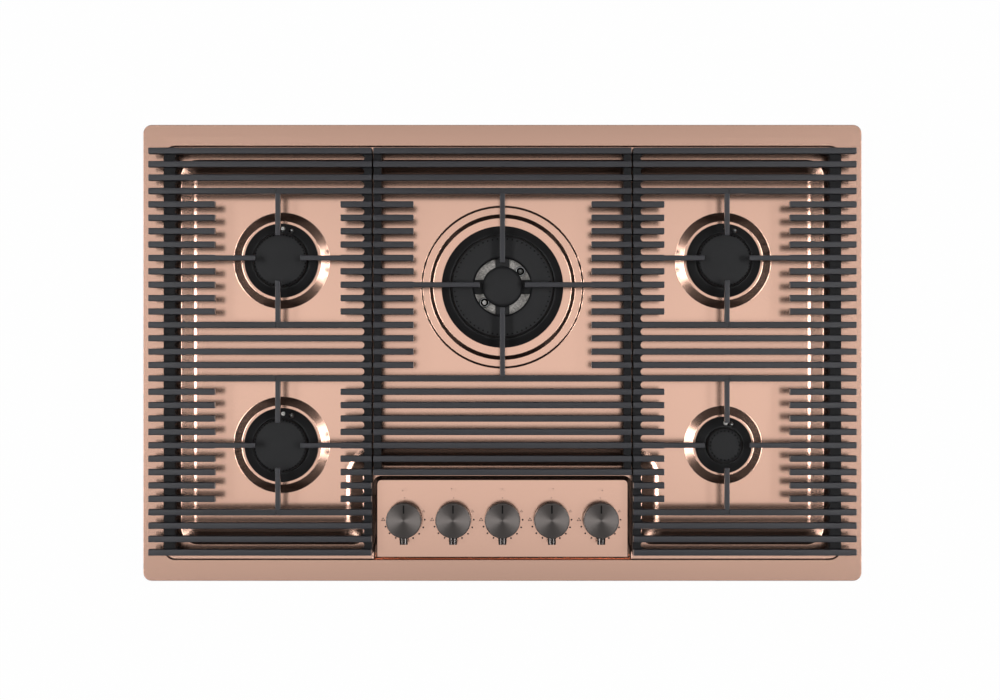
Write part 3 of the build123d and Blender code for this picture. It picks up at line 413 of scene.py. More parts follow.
def probe_places(name):
    """Places of a corner burner's electrode and thermocouple, outside its cap."""
    return around(burner_at[name], cap_radius[name] + 5.5 * MM, (86, 70))


# ---------------------------------------------------------------- materials
class Value:
    """A number or a colour in a material. Arithmetic on it adds Math nodes."""

    def __init__(self, finish, socket):
        self.finish = finish
        self.socket = socket

    def maths(self, operation, *values):
        """A Math node on the values."""
        return self.finish.node("ShaderNodeMath", {"operation": operation}, dict(enumerate(values)))

    def __add__(self, other):
        return self.maths("ADD", self, other)

    def __radd__(self, other):
        return self.maths("ADD", other, self)

    def __sub__(self, other):
        return self.maths("SUBTRACT", self, other)

    def __rsub__(self, other):
        return self.maths("SUBTRACT", other, self)

    def __mul__(self, other):
        return self.maths("MULTIPLY", self, other)

    def __rmul__(self, other):
        return self.maths("MULTIPLY", other, self)

    def __truediv__(self, other):
        return self.maths("DIVIDE", self, other)


class Finish:
    """A material built from nodes, or the world when a tree is given."""

    def __init__(self, name, constants=(), tree=None):
        if tree is None:
            self.material = bpy.data.materials.new(name)
            self.material.use_nodes = True
            tree = self.material.node_tree
            self.shader = tree.nodes["Principled BSDF"]
            for socket, value in dict(constants).items():
                self.shader.inputs[socket].default_value = (*value, 1) if socket == "Base Color" else value
        self.tree = tree

    def node(self, kind, settings=(), sockets=(), output=0):
        """Adds a node, its settings first and then its sockets, and returns one output."""
        made = self.tree.nodes.new(kind)
        for setting, value in dict(settings).items():
            if setting == "stops":
                ramp = made.color_ramp.elements
                while len(ramp) < len(value):
                    ramp.new(1)
                for element, (position, level) in zip(ramp, value):
                    element.position = position
                    element.color = (*level, 1) if hasattr(level, "__len__") else (level, level, level, 1)
            else:
                setattr(made, setting, value)
        for socket, value in dict(sockets).items():
            self.feed(made.inputs[socket], value)
        return Value(self, made.outputs[output])

    def feed(self, socket, value):
        """Links a value to a socket, or sets a constant on it."""
        if isinstance(value, Value):
            self.tree.links.new(value.socket, socket)
        else:
            socket.default_value = value

    def set(self, socket, value):
        """Links or sets a socket of the surface's shader."""
        self.feed(self.shader.inputs[socket], value)

    def position(self, stretch=(1, 1, 1)):
        """Object coordinates, stretched."""
        place = self.node("ShaderNodeTexCoord", output="Object")
        return self.node("ShaderNodeMapping", (), {"Vector": place, "Scale": stretch})

    def noise(self, scale, detail=3, roughness=0.55, place=None):
        """A cloudy pattern."""
        return self.node("ShaderNodeTexNoise", (), {
            "Vector": place or self.position(), "Scale": scale, "Detail": detail, "Roughness": roughness})

    def cells(self, scale, output="Distance"):
        """A pattern of uneven cells."""
        return self.node(
            "ShaderNodeTexVoronoi", (), {"Vector": self.position(), "Scale": scale}, output=output)

    def axis(self, place, name):
        """One coordinate of a place."""
        return self.node("ShaderNodeSeparateXYZ", (), {"Vector": place}, output=name)

    def fall(self, value, edge, softness):
        """1 below an edge and 0 above it, with a smooth step between them."""
        return self.node("ShaderNodeMapRange", {"interpolation_type": "SMOOTHSTEP"}, {
            "Value": value, "From Min": edge - softness, "From Max": edge + softness,
            "To Min": 1.0, "To Max": 0.0})

    def between(self, value, low, high):
        """A value from 0 to 1 spread between two numbers."""
        return value * (high - low) + low

    def blend(self, share, first, second):
        """Mixes two colours."""
        first, second = ((*c, 1) if isinstance(c, (tuple, list)) else c for c in (first, second))
        return self.node("ShaderNodeMix", {"data_type": "RGBA"}, {0: share, 6: first, 7: second}, output=2)

    def steps(self, value, *stops):
        """A smooth ramp of levels over a value."""
        return self.node("ShaderNodeValToRGB", {"stops": stops}, {"Fac": value})

    def bump(self, height, strength, distance):
        """Gives the surface relief from a height."""
        self.set("Normal", self.node(
            "ShaderNodeBump", (), {"Height": height, "Strength": strength, "Distance": distance}))


def shade(colour_value, factor):
    """A colour made darker or lighter."""
    return tuple(min(1, channel * factor) for channel in colour_value)


def copper_finish(tint):
    """Satin copper with a very fine lengthwise grain and a cloudy variation, and painted shade that darkens
    its rim.
    """
    finish = Finish("satin_copper", {"Metallic": 1.0})
    place = finish.position()
    grain = finish.noise(2.0, place=finish.position((30, 1600, 200)))
    clouds = finish.noise(5.0, detail=1, place=place)
    tone = 0.6 * grain + 0.4 * clouds
    # Painted shade: the rim's colour is darkened by this height mask, standing in for its dimmer reflection.
    below_rim = finish.fall(finish.axis(place, "Z"), rim_z - 0.5 * MM, 0.2 * MM)
    plain = finish.blend(tone, shade(tint, 0.97), shade(tint, 1.03))
    painted_rim_shade = finish.blend(tone, shade(tint, 0.83), shade(tint, 0.88))
    finish.set("Base Color", finish.blend(below_rim, painted_rim_shade, plain))
    finish.set("Roughness", finish.between(grain, 0.17, 0.22))
    finish.bump(grain, 0.02, 0.01 * MM)
    return finish.material


def iron_finish(tint):
    """Satin enamel on cast iron: fine orange-peel relief, a painted highlight on the convex upper edges,
    painted shade below.
    """
    finish = Finish("matt_cast_iron", {"Specular IOR Level": 0.5})
    peel = finish.noise(900, detail=4)
    patches = finish.noise(28)
    edges = finish.node("ShaderNodeNewGeometry", output="Pointiness")
    # Painted highlight: convex edges are lifted towards a pale tint.
    edge_highlight = finish.steps(edges, (0.49, 0.0), (0.56, 1.0))
    # Painted shade: everything about 4 mm or more below the bars' tops is darkened.
    shadowed = finish.fall(finish.axis(finish.position(), "Z"), support_top - 4 * MM, MM)
    base = finish.blend(patches, shade(tint, 0.85), shade(tint, 1.15))
    upper = finish.blend(0.55 * edge_highlight, base, shade(tint, 2.2))
    finish.set("Base Color", finish.blend(shadowed, upper, shade(tint, 0.35)))
    finish.set("Roughness", 0.42 * shadowed + finish.between(patches, 0.28, 0.38))
    finish.bump(peel, 0.12, 0.03 * MM)
    return finish.material


def enamel_finish(tint, name, roughness):
    """Matt black enamel with a fine grain and faint dust."""
    finish = Finish(name, {"Specular IOR Level": 0.32})
    grain = finish.noise(1400)
    dust = finish.noise(60, detail=5, roughness=0.7)
    finish.set("Base Color", finish.blend(dust, shade(tint, 0.8), shade(tint, 1.35)))
    finish.set("Roughness", finish.between(grain, roughness - 0.05, roughness + 0.05))
    finish.bump(grain, 0.18, 0.03 * MM)
    return finish.material


def turned_finish(tint, name, spread):
    """Turned gunmetal. Its fine grooves run round the knob, so that light spreads in two fans."""
    finish = Finish(name, {"Metallic": 1.0, "Anisotropic": spread, "Anisotropic Rotation": 0.25})
    streaks = finish.noise(26, place=finish.position((1, 1, 220)))
    finish.set("Base Color", finish.blend(streaks, shade(tint, 0.92), shade(tint, 1.08)))
    finish.set("Roughness", finish.between(streaks, 0.38, 0.44))
    return finish.material


def cast_finish(tint):
    """Grainy cast aluminium."""
    finish = Finish("cast_aluminium", {"Metallic": 1.0})
    grains = finish.noise(420, detail=6, roughness=0.8)
    pits = finish.cells(700)
    patches = finish.steps(grains, (0.36, 0.0), (0.64, 1.0))
    finish.set("Base Color", finish.blend(patches, shade(tint, 0.45), shade(tint, 1.5)))
    finish.set("Roughness", finish.between(grains, 0.48, 0.66))
    finish.bump(grains * 0.7 + pits * 0.3, 0.55, 0.15 * MM)
    return finish.material


def metal_finish(tint, name, roughness, grain_scale=400, relief=0.1):
    """Plain drawn or rolled metal with a fine uneven sheen."""
    finish = Finish(name, {"Metallic": 1.0})
    grain = finish.noise(grain_scale, detail=4)
    stains = finish.noise(18, detail=4)
    finish.set("Base Color", finish.blend(stains, shade(tint, 0.84), shade(tint, 1.08)))
    finish.set("Roughness", finish.between(stains, roughness - 0.06, roughness + 0.08))
    finish.bump(grain, relief, 0.04 * MM)
    return finish.material


def galvanised_finish(tint):
    """Galvanised sheet with its pale and dark crystal flowers."""
    finish = Finish("galvanised_sheet", {"Metallic": 1.0})
    tone = finish.node("ShaderNodeSeparateColor", (), {"Color": finish.cells(90, "Color")})
    grain = finish.noise(500)
    finish.set("Base Color", finish.blend(tone, shade(tint, 0.72), shade(tint, 1.1)))
    finish.set("Roughness", finish.between(tone, 0.32, 0.5))
    finish.bump(grain, 0.12, 0.04 * MM)
    return finish.material


def rubber_finish(name, tint, grain_scale):
    """Matt rubber or foam with an open grain."""
    finish = Finish(name, {"Specular IOR Level": 0.3})
    cloud = finish.noise(40)
    finish.set("Base Color", finish.blend(cloud, shade(tint, 0.75), shade(tint, 1.25)))
    finish.set("Roughness", finish.between(cloud, 0.72, 0.88))
    finish.bump(finish.cells(grain_scale), 0.35, 0.12 * MM)
    return finish.material


def ceramic_finish():
    """Glazed white ceramic, a little sooty."""
    finish = Finish("glazed_ceramic", {"Coat Weight": 0.4, "Coat Roughness": 0.12})
    soot = finish.noise(160, detail=4)
    finish.set("Base Color", finish.blend(soot, (0.95, 0.94, 0.90), (0.80, 0.78, 0.74)))
    finish.set("Roughness", finish.between(soot, 0.22, 0.38))
    finish.bump(soot, 0.05, 0.05 * MM)
    return finish.material


def plastic_finish():
    """Moulded grey plastic with a fine spark-eroded texture."""
    finish = Finish("moulded_plastic")
    texture = finish.noise(1100, detail=4)
    finish.set("Base Color", finish.blend(texture, (0.16, 0.16, 0.165), (0.21, 0.21, 0.215)))
    finish.set("Roughness", finish.between(texture, 0.42, 0.55))
    finish.bump(texture, 0.25, 0.05 * MM)
    return finish.material


def ink_finish(tint):
    """Printed ink, slightly uneven."""
    finish = Finish("printed_ink")
    spread = finish.noise(1500, detail=2)
    finish.set("Base Color", finish.blend(spread, shade(tint, 0.85), shade(tint, 1.15)))
    finish.set("Roughness", finish.between(spread, 0.42, 0.5))
    return finish.material


def finishes():
    """The cooktop's materials by name, made once."""
    made = bpy.data.materials
    if "satin_copper" not in made:
        tints = bpy.context.scene.cooktop_colours
        copper_finish(tints.copper)
        iron_finish(tints.iron)
        enamel_finish(tints.enamel, "ring_enamel", 0.52)
        enamel_finish(shade(tints.enamel, 1.55), "cap_enamel", 0.55)
        turned_finish(shade(tints.gunmetal, 1.12), "turned_face", 0.7)
        turned_finish(tints.gunmetal, "turned_side", 0.3)
        cast_finish(tints.castings)
        galvanised_finish(tints.steel)
        metal_finish(shade(tints.gunmetal, 1.5), "lever_metal", 0.24)
        metal_finish(tints.steel, "screw_steel", 0.3)
        metal_finish(shade(tints.steel, 0.8), "spindle_steel", 0.26)
        metal_finish(tints.brass, "tap_brass", 0.28)
        metal_finish((0.72, 0.73, 0.74), "pipe_aluminium", 0.34)
        metal_finish(shade(tints.steel, 0.7), "pipe_steel", 0.4, grain_scale=250, relief=0.2)
        rubber_finish("knob_rubber", (0.018, 0.018, 0.019), 900)
        rubber_finish("seal_foam", (0.035, 0.035, 0.037), 420)
        ceramic_finish()
        plastic_finish()
        ink_finish(tints.print_ink)
        rubber_finish("index_paint", (0.004, 0.004, 0.004), 1200)
        # Near-black: painted shade on the flame ports' floors, and the dark ring round the middle burner's
        # probes.
        rubber_finish("soot", (0.0015, 0.0015, 0.0015), 1200)
    return made


def finished(piece, material, body, slot, *nodes):
    """Gives a finished piece its material and its body, and hides the nodes that it stands for. Its slot is
    not used.
    """
    if material:
        piece.data.materials.clear()
        piece.data.materials.append(finishes()[material])
    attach(piece, body)
    if nodes:
        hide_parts(*nodes)


# ---------------------------------------------------------------- top deck
def seat(name):
    """The raised seat of a corner burner, open in its middle for the cup."""
    sizes = bpy.context.scene.cooktop_deck
    x, y = burner_at[name]
    margin = sizes.small_seat_margin if name == "front_right" else sizes.seat_margin
    foot = ring_radius[name] + margin
    hole = half_cup(name)
    return stepped_disc(f"seat_{name}", x, y, foot, [
        (sizes.seat_run, sizes.seat_rise), (foot - sizes.seat_run - hole, 0)])


def half_cup(name):
    """Radius of the hole in the deck round a burner's cup."""
    inset, clearance = 1.5 * MM, 0.8 * MM
    if name == "centre":
        return middle_cup + clearance
    return cap_radius[name] - inset + clearance


def stepped_disc(name, x, y, radius, insets):
    """A round plate worked inwards by insets of (width, rise), with its middle taken out."""
    sizes = bpy.context.scene.cooktop_deck
    floor_z = rim_z - sizes.shelf_drop - sizes.floor_drop
    piece = new_piece(
        bpy.ops.mesh.primitive_circle_add, name, place=(x, y, floor_z),
        vertices=72, radius=radius, fill_type="NGON")
    with editing(piece):
        select_everything()
        facing = selected_normal()
        for width, rise in insets:
            bpy.ops.mesh.inset(thickness=width, depth=rise * facing)
        bpy.ops.mesh.delete(type="FACE")
        select_everything()
        if facing < 0:
            bpy.ops.mesh.flip_normals()
    return piece


class CooktopDeck(bpy.types.Operator):
    """Models the pressed top deck: rim, shelf, sloped wall, floor, burner seats and control panel"""

    bl_idname = "cooktop.deck"
    bl_label = "Top deck"

    def execute(self, context):
        sizes = context.scene.cooktop_deck
        shelf_z = rim_z - sizes.shelf_drop
        floor_z = shelf_z - sizes.floor_drop
        panel_z = shelf_z + sizes.panel_rise
        seat_z = floor_z + sizes.seat_rise
        deck = self.shell(sizes, shelf_z, floor_z, panel_z)
        self.creases(deck, sizes, shelf_z, floor_z, panel_z, seat_z)
        worked(deck, "SOLIDIFY", thickness=sizes.sheet, offset=-1)
        self.holes(deck, sizes, floor_z, panel_z)
        smoothed(deck, angle=50)
        finished(deck, "satin_copper", "root", "deck_steel", "top_deck")
        return {"FINISHED"}

    def rim_points(self, x, y, foot_x):
        """A rectangle with a point at each side of the control panel's foot."""
        return [(-x, y), (-x, -y), (-foot_x, -y), (foot_x, -y), (x, -y), (x, y)]

    def well_outline(self, sizes, inset, z, outer, feet, notch):
        """The well's edge, notched by the control panel and moved inwards by an inset. Its corner radii are
        those at the rim, at the notch's front and at its rear."""
        x, rear = sizes.shelf_x - inset, sizes.shelf_rear - inset
        front, side, back = -sizes.shelf_front + inset, sizes.notch_x + inset, -sizes.notch_y + inset
        points = [
            (-x, rear), (-x, front), (-side, front), (-side, back),
            (side, back), (side, front), (x, front), (x, rear)]
        return outline("well_edge", points, z, [
            ([points[0], points[1], points[6], points[7]], outer),
            ([points[2], points[5]], feet), ([points[3], points[4]], notch)])

    def shell(self, sizes, shelf_z, floor_z, panel_z):
        """The sheet's upper surface, still without thickness."""
        wall_x, wall_y = sizes.well_x, sizes.well_y
        foot_x, foot_y = sizes.panel_x + sizes.panel_slope, -sizes.panel_y + sizes.panel_slope
        rim = self.rim_points(rim_half.x, rim_half.y, foot_x)
        mouth = self.rim_points(wall_x, wall_y, foot_x)
        rim_corners = [p for p in rim if abs(p[0]) > foot_x]
        wall_corners = [p for p in mouth if abs(p[0]) > foot_x]
        deck = joined("top_deck_skin", [
            edges_only(outline("rim", rim, rim_z, [(rim_corners, sizes.rim_corner)])),
            edges_only(outline("mouth", mouth, rim_z, [(wall_corners, sizes.well_corner)]))])

        def beyond_wall(edge):
            return all(abs(v.co.x) > wall_x + MM or abs(v.co.y) > wall_y + MM for v in edge.verts)

        with editing(deck):
            select_everything()
            bpy.ops.mesh.bridge_edge_loops()
            select("EDGE", lambda e: e.is_boundary and beyond_wall(e))
            bpy.ops.mesh.extrude_region_move(TRANSFORM_OT_translate={"value": (0, 0, -sizes.rim_skirt)})
            select("EDGE", lambda e: e.is_boundary and at_level(e, rim_z))
            bpy.ops.mesh.extrude_region_move(TRANSFORM_OT_translate={"value": (0, 0, -sizes.shelf_drop)})

        shelf_points = [
            (-wall_x, wall_y), (-wall_x, -wall_y), (-foot_x, -wall_y), (-foot_x, foot_y),
            (foot_x, foot_y), (foot_x, -wall_y), (wall_x, -wall_y), (wall_x, wall_y)]
        panel_foot_corner = sizes.panel_corner + sizes.panel_slope
        upper_corners = 20 * MM, 11 * MM, 11 * MM
        lower_corners = 5 * MM, 15.5 * MM, 29 * MM
        shelf = joined("shelf", [
            edges_only(outline("shelf_edge", shelf_points, shelf_z, [
                (wall_corners, sizes.well_corner), (shelf_points[3:5], panel_foot_corner)])),
            edges_only(self.well_outline(sizes, 0, shelf_z, *upper_corners))])
        with editing(shelf):
            select_everything()
            bpy.ops.mesh.fill(use_beauty=True)

        lower = edges_only(self.well_outline(sizes, sizes.slope_run, floor_z, *lower_corners))
        deck = joined("top_deck_skin", [deck, shelf, lower])
        with editing(deck):
            select_everything()
            bpy.ops.mesh.remove_doubles(threshold=merge_distance)
            select("EDGE", lambda e: (e.is_wire and at_level(e, floor_z)) or (
                e.is_boundary and at_level(e, shelf_z) and self.inside_shelf(e, sizes)))
            bpy.ops.mesh.bridge_edge_loops()

        seats = [seat(name) for name in corners]
        foot, step_run, ledge, slope = 97.8 * MM, 2 * MM, 8.3 * MM, 4.5 * MM
        top = foot - step_run - ledge - slope
        seats.append(stepped_disc("seat_centre", *burner_at["centre"], foot, [
            (step_run, middle_step), (ledge, 0), (slope, sizes.seat_rise - middle_step),
            (top - half_cup("centre"), 0)]))
        deck = joined("top_deck_skin", [deck, *seats])
        with editing(deck):
            select("EDGE", lambda e: e.is_boundary and at_level(e, floor_z))
            bpy.ops.mesh.fill(use_beauty=True)

        front = -wall_y + sizes.panel_front
        panel = outline("panel", [
            (-sizes.panel_x, front), (sizes.panel_x, front), (sizes.panel_x, -sizes.panel_y),
            (-sizes.panel_x, -sizes.panel_y)], panel_z,
            [([(sizes.panel_x, -sizes.panel_y), (-sizes.panel_x, -sizes.panel_y)], sizes.panel_corner)])
        deck = joined("top_deck_skin", [deck, panel])

        def panel_side(edge):
            behind_wall = all(v.co.y < front + 0.1 * MM for v in edge.verts)
            at_foot = at_level(edge, shelf_z) and all(
                abs(v.co.x) < foot_x + 0.1 * MM and v.co.y < foot_y + 0.1 * MM for v in edge.verts)
            return edge.is_boundary and not behind_wall and (at_level(edge, panel_z) or at_foot)

        def panel_front(edge):
            return at_level(edge, panel_z) and all(v.co.y < front + 0.1 * MM for v in edge.verts)

        with editing(deck):
            select("EDGE", panel_side)
            bpy.ops.mesh.bridge_edge_loops()
            select("EDGE", panel_front)
            bpy.ops.mesh.extrude_region_move(
                TRANSFORM_OT_translate={"value": (0, -sizes.panel_front, -sizes.panel_rise)})
            bpy.ops.transform.resize(
                value=(foot_x / sizes.panel_x, 1, 1), center_override=(0, -wall_y, shelf_z))
            select_everything()
            bpy.ops.mesh.remove_doubles(threshold=merge_distance)
            select_everything()
            bpy.ops.mesh.normals_make_consistent(inside=False)
            select("FACE", lambda f: at_level(f, rim_z))
            if selected_normal() < 0:
                select_everything()
                bpy.ops.mesh.flip_normals()
        return deck

    def at_panel(self, edge, sizes):
        """Whether an edge belongs to the control panel or to its foot."""
        foot_x, foot_y = sizes.panel_x + sizes.panel_slope, -sizes.panel_y + sizes.panel_slope
        return all(abs(v.co.x) < foot_x + 0.5 * MM and v.co.y < foot_y + 0.5 * MM for v in edge.verts)

    def inside_shelf(self, edge, sizes):
        """Whether an edge lies on the shelf's inner outline."""
        x, rear, front = sizes.shelf_x, sizes.shelf_rear, -sizes.shelf_front
        in_well = all(abs(v.co.x) < x + MM and front - MM < v.co.y < rear + MM for v in edge.verts)
        return in_well and not self.at_panel(edge, sizes)

    def creases(self, deck, sizes, shelf_z, floor_z, panel_z, seat_z):
        """Rounds the folds of the pressing, each with its own width."""
        def fold(edge):
            return edge.calc_face_angle(0) > radians(6)

        def at_panel(edge):
            return self.at_panel(edge, sizes)

        def steep(edge):
            return edge.calc_face_angle(0) > radians(70)

        def on_seat(edge):
            margin = 26 * MM
            return any(
                (v.co.xy - burner_at[name]).length < ring_radius[name] + margin
                for v in edge.verts for name in burner_names)

        folds = (   # which edges, width of the rounding, its segments
            (lambda e: at_level(e, rim_z) and fold(e) and self.on_rim_edge(e, sizes), 0.6 * MM, 3),
            (lambda e: at_level(e, rim_z) and fold(e) and not self.on_rim_edge(e, sizes), 0.8 * MM, 2),
            (lambda e: at_level(e, shelf_z) and steep(e) and not at_panel(e), 0.8 * MM, 2),
            (lambda e: at_level(e, shelf_z) and fold(e) and not steep(e) and not at_panel(e), 2.6 * MM, 3),
            (lambda e: at_level(e, shelf_z) and fold(e) and not steep(e) and at_panel(e), 0.5 * MM, 2),
            (lambda e: at_level(e, panel_z) and fold(e), 0.8 * MM, 3),
            (lambda e: at_level(e, floor_z) and fold(e) and not on_seat(e), 7 * MM, 5),
            (lambda e: at_level(e, floor_z) and fold(e) and on_seat(e), 0.5 * MM, 2),
            (lambda e: at_level(e, seat_z) and fold(e), 0.5 * MM, 2),
            (lambda e: at_level(e, floor_z + middle_step) and fold(e), 0.4 * MM, 2),
        )
        with editing(deck):
            for level in (rim_z, shelf_z, panel_z, floor_z, seat_z):
                select("FACE", lambda f: at_level(f, level))
                bpy.ops.mesh.dissolve_limited(angle_limit=radians(0.2))
            for test, width, segments in folds:
                if select("EDGE", lambda e: e.is_manifold and test(e)):
                    bpy.ops.mesh.bevel(offset=width, segments=segments, affect="EDGES", clamp_overlap=True)

    def on_rim_edge(self, edge, sizes):
        """Whether an edge lies on the rim's outer outline."""
        return all(
            abs(v.co.x) > sizes.well_x + MM or abs(v.co.y) > sizes.well_y + MM for v in edge.verts)

    def holes(self, deck, sizes, floor_z, panel_z):
        """Holes for the spindles, the probes and the cup screws."""
        knob_x = [middle(f"knob_{k}").x for k in range(1, knob_count + 1)]
        spindle_y = middle("tap_spindle_1").y
        spindle_hole, screw_hole, screw_circle, above = 7 * MM, 1.8 * MM, 66 * MM, floor_z + 6 * MM
        cut(deck, pins("spindle_holes", [(x, spindle_y) for x in knob_x], spindle_hole,
                       panel_z - 3 * MM, panel_z + MM, sides=32))
        probes = []
        screws = []
        for name in corners:
            probes += probe_places(name)
            screws += around(burner_at[name], cap_radius[name] + 4 * MM, (20, 150, 270))
        screws += around(burner_at["centre"], screw_circle, evenly(4))
        cut(deck, pins("probe_holes", probes, probe_hole, floor_z, above))
        cut(deck, pins("screw_holes", screws, screw_hole, floor_z, above, sides=12))


# ---------------------------------------------------------------- pan supports
class CooktopSupports(bpy.types.Operator):
    """Models the three cast pan supports with their bars, combs, fingers, rails and feet"""

    bl_idname = "cooktop.supports"
    bl_label = "Pan supports"

    side_rows, middle_rows = 31, 25
    rear_row, front_row, middle_row = 8, 22, 10
    side_open, middle_open = 4, 6

    def execute(self, context):
        self.sizes = context.scene.cooktop_supports
        reach = self.sizes.side_reach
        for side, name in ((-1, "left"), (1, "right")):
            low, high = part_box(f"pan_support_{name}")
            burner_x = burner_at[f"rear_{name}"][0]
            windows = [(burner_x, row, self.side_open, reach) for row in (self.rear_row, self.front_row)]
            outer_edge = self.sizes.rail_high_x
            outer = sorted((side * outer_edge, side * (outer_edge - self.sizes.outer_rail)))
            inner_edge = min(abs(low.x), abs(high.x))
            inner = sorted((side * inner_edge, side * (inner_edge + self.sizes.inner_rail)))
            self.grid(name, low.x, high.x, self.side_rows, windows, [(*outer, -side), (*inner, side)])
        low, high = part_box("pan_support_centre")
        self.grid(
            "centre", low.x, high.x, self.middle_rows,
            [(0, self.middle_row, self.middle_open, self.sizes.middle_reach)],
            [(low.x, low.x + self.sizes.inner_rail, 0), (high.x - self.sizes.inner_rail, high.x, 0)])
        return {"FINISHED"}

    def row_y(self, row):
        """Middle of a row of bars, counted from the rear."""
        return middle("pan_support_left").y + ((self.side_rows - 1) / 2 - row) * self.sizes.row_pitch

    def bars(self, low, high, rows):
        """Equal bars at several rows, the first modelled and the others copied. Returns them by row."""
        half, drop = self.sizes.bar_width / 2, self.sizes.bar_height
        y = self.row_y(rows[0])
        first = block(
            "bar", (low, y - half, support_top - drop), (high, y + half, support_top), self.sizes.rounding)
        made = {rows[0]: first}
        for row in rows[1:]:
            made[row] = copied(first, (0, self.row_y(row) - y, 0), "bar")
        self.parts += made.values()
        return made

    def finger(self, x, y, direction, root):
        """A finger from its root towards the burner, thinner below at its tip."""
        sizes = self.sizes
        along = Vector(direction)
        across = Vector((-along.y, along.x)) * sizes.finger_width / 2
        tip, start = Vector((x, y)) + along * sizes.finger_tip, Vector((x, y)) + along * root
        spots = [tip + across, tip - across, start + across, start - across]
        low = (min(s.x for s in spots), min(s.y for s in spots), support_top - sizes.bar_height)
        high = (max(s.x for s in spots), max(s.y for s in spots), support_top)
        piece = block("finger", low, high)
        with editing(piece):
            select("VERT", lambda v: (
                (v.co.xy - tip).length < sizes.finger_width and v.co.z < support_top - MM))
            bpy.ops.transform.translate(value=(0, 0, 2.5 * MM))
            select_everything()
            bpy.ops.mesh.bevel(offset=0.7 * MM, segments=2, affect="EDGES")
        self.parts.append(piece)

    def recess(self, bar, x, y):
        """Cuts the small recess in a bar's top where a finger springs from it."""
        half_x, half_y = self.sizes.finger_width / 2, self.sizes.bar_width / 2 - 1.1 * MM
        cut(bar, block("recess", (x - half_x, y - half_y, support_top - 2 * MM),
                       (x + half_x, y + half_y, support_top + MM)))

    def rail(self, low, high, hollow, rows):
        """A lengthwise rail, with rounded hollows between the bars on one side."""
        sizes = self.sizes
        top, bottom = support_top - sizes.rail_sink, support_top - sizes.rail_sink - sizes.rail_height
        rear, front = self.row_y(0) + sizes.bar_width / 2, self.row_y(rows - 1) - sizes.bar_width / 2
        reach_low = low - sizes.rail_hollow if hollow < 0 else low
        reach_high = high + sizes.rail_hollow if hollow > 0 else high
        piece = block("rail", (reach_low, front, bottom), (reach_high, rear, top))
        if hollow:
            edge = high if hollow > 0 else low
            radius = (sizes.row_pitch - sizes.bar_width) / 2
            places = [(edge + hollow * radius, self.row_y(row + 0.5)) for row in range(rows - 1)]
            cut(piece, pins("hollows", places, radius, bottom - MM, top + MM, sides=28))
        softened(piece, 0.5 * MM)
        self.parts.append(piece)
        for row in (0, rows - 1):
            self.foot(low, high, self.row_y(row), bottom)

    def foot(self, low, high, y, top):
        """A foot that narrows a little towards its rubber pad."""
        inset, half = 1.4 * MM, self.sizes.foot_length / 2
        piece = block(
            "foot", (low + inset, y - half, self.sizes.foot_bottom), (high - inset, y + half, top + MM))
        softened(piece, 0.6 * MM)
        self.parts.append(piece)

    def grid(self, name, low, high, rows, windows, rails):
        """One pan support. A window is (burner x, burner row, open rows each side, comb reach)."""
        self.parts = []
        opened = {}
        for x, burner_row, open_rows, reach in windows:
            for row in range(burner_row - open_rows, burner_row + open_rows + 1):
                opened[row] = (x, reach)
            y = self.row_y(burner_row)
            overlap = self.sizes.bar_width / 2
            for direction in ((1, 0), (-1, 0)):
                self.finger(x, y, direction, reach + MM)
            for direction in ((0, 1), (0, -1)):
                self.finger(x, y, direction, (open_rows + 1) * self.sizes.row_pitch - overlap + MM)
        whole = [row for row in range(rows) if row not in opened]
        crossed = self.bars(low, high, whole)
        for x, burner_row, open_rows, _ in windows:
            for row in (burner_row - open_rows - 1, burner_row + open_rows + 1):
                self.recess(crossed[row], x, self.row_y(row))
        x, _, _, reach = windows[0]
        self.bars(low, x - reach, sorted(opened))
        self.bars(x + reach, high, sorted(opened))
        for rail_low, rail_high, hollow in rails:
            self.rail(rail_low, rail_high, hollow, rows)
        support = joined(f"{name}_pan_support", self.parts)
        smoothed(support)
        finished(support, "matt_cast_iron", f"support_{name}", "support_iron", f"pan_support_{name}")


# ---------------------------------------------------------------- burners
def with_ports(cap, material, x, y, circle, count, low, high):
    """Drills a circle of flame ports into an enamelled cap; their floors get a near-black colour, painted
    shade of the holes.
    """
    radius = bpy.context.scene.cooktop_burners.port
    cap.data.materials.append(finishes()[material])
    ports = pins("ports", around((x, y), circle, evenly(count)), radius, low, high, sides=8)
    # Painted shade: the ports' floors take this near-black colour.
    ports.data.materials.append(finishes()["soot"])
    cut(cap, ports)


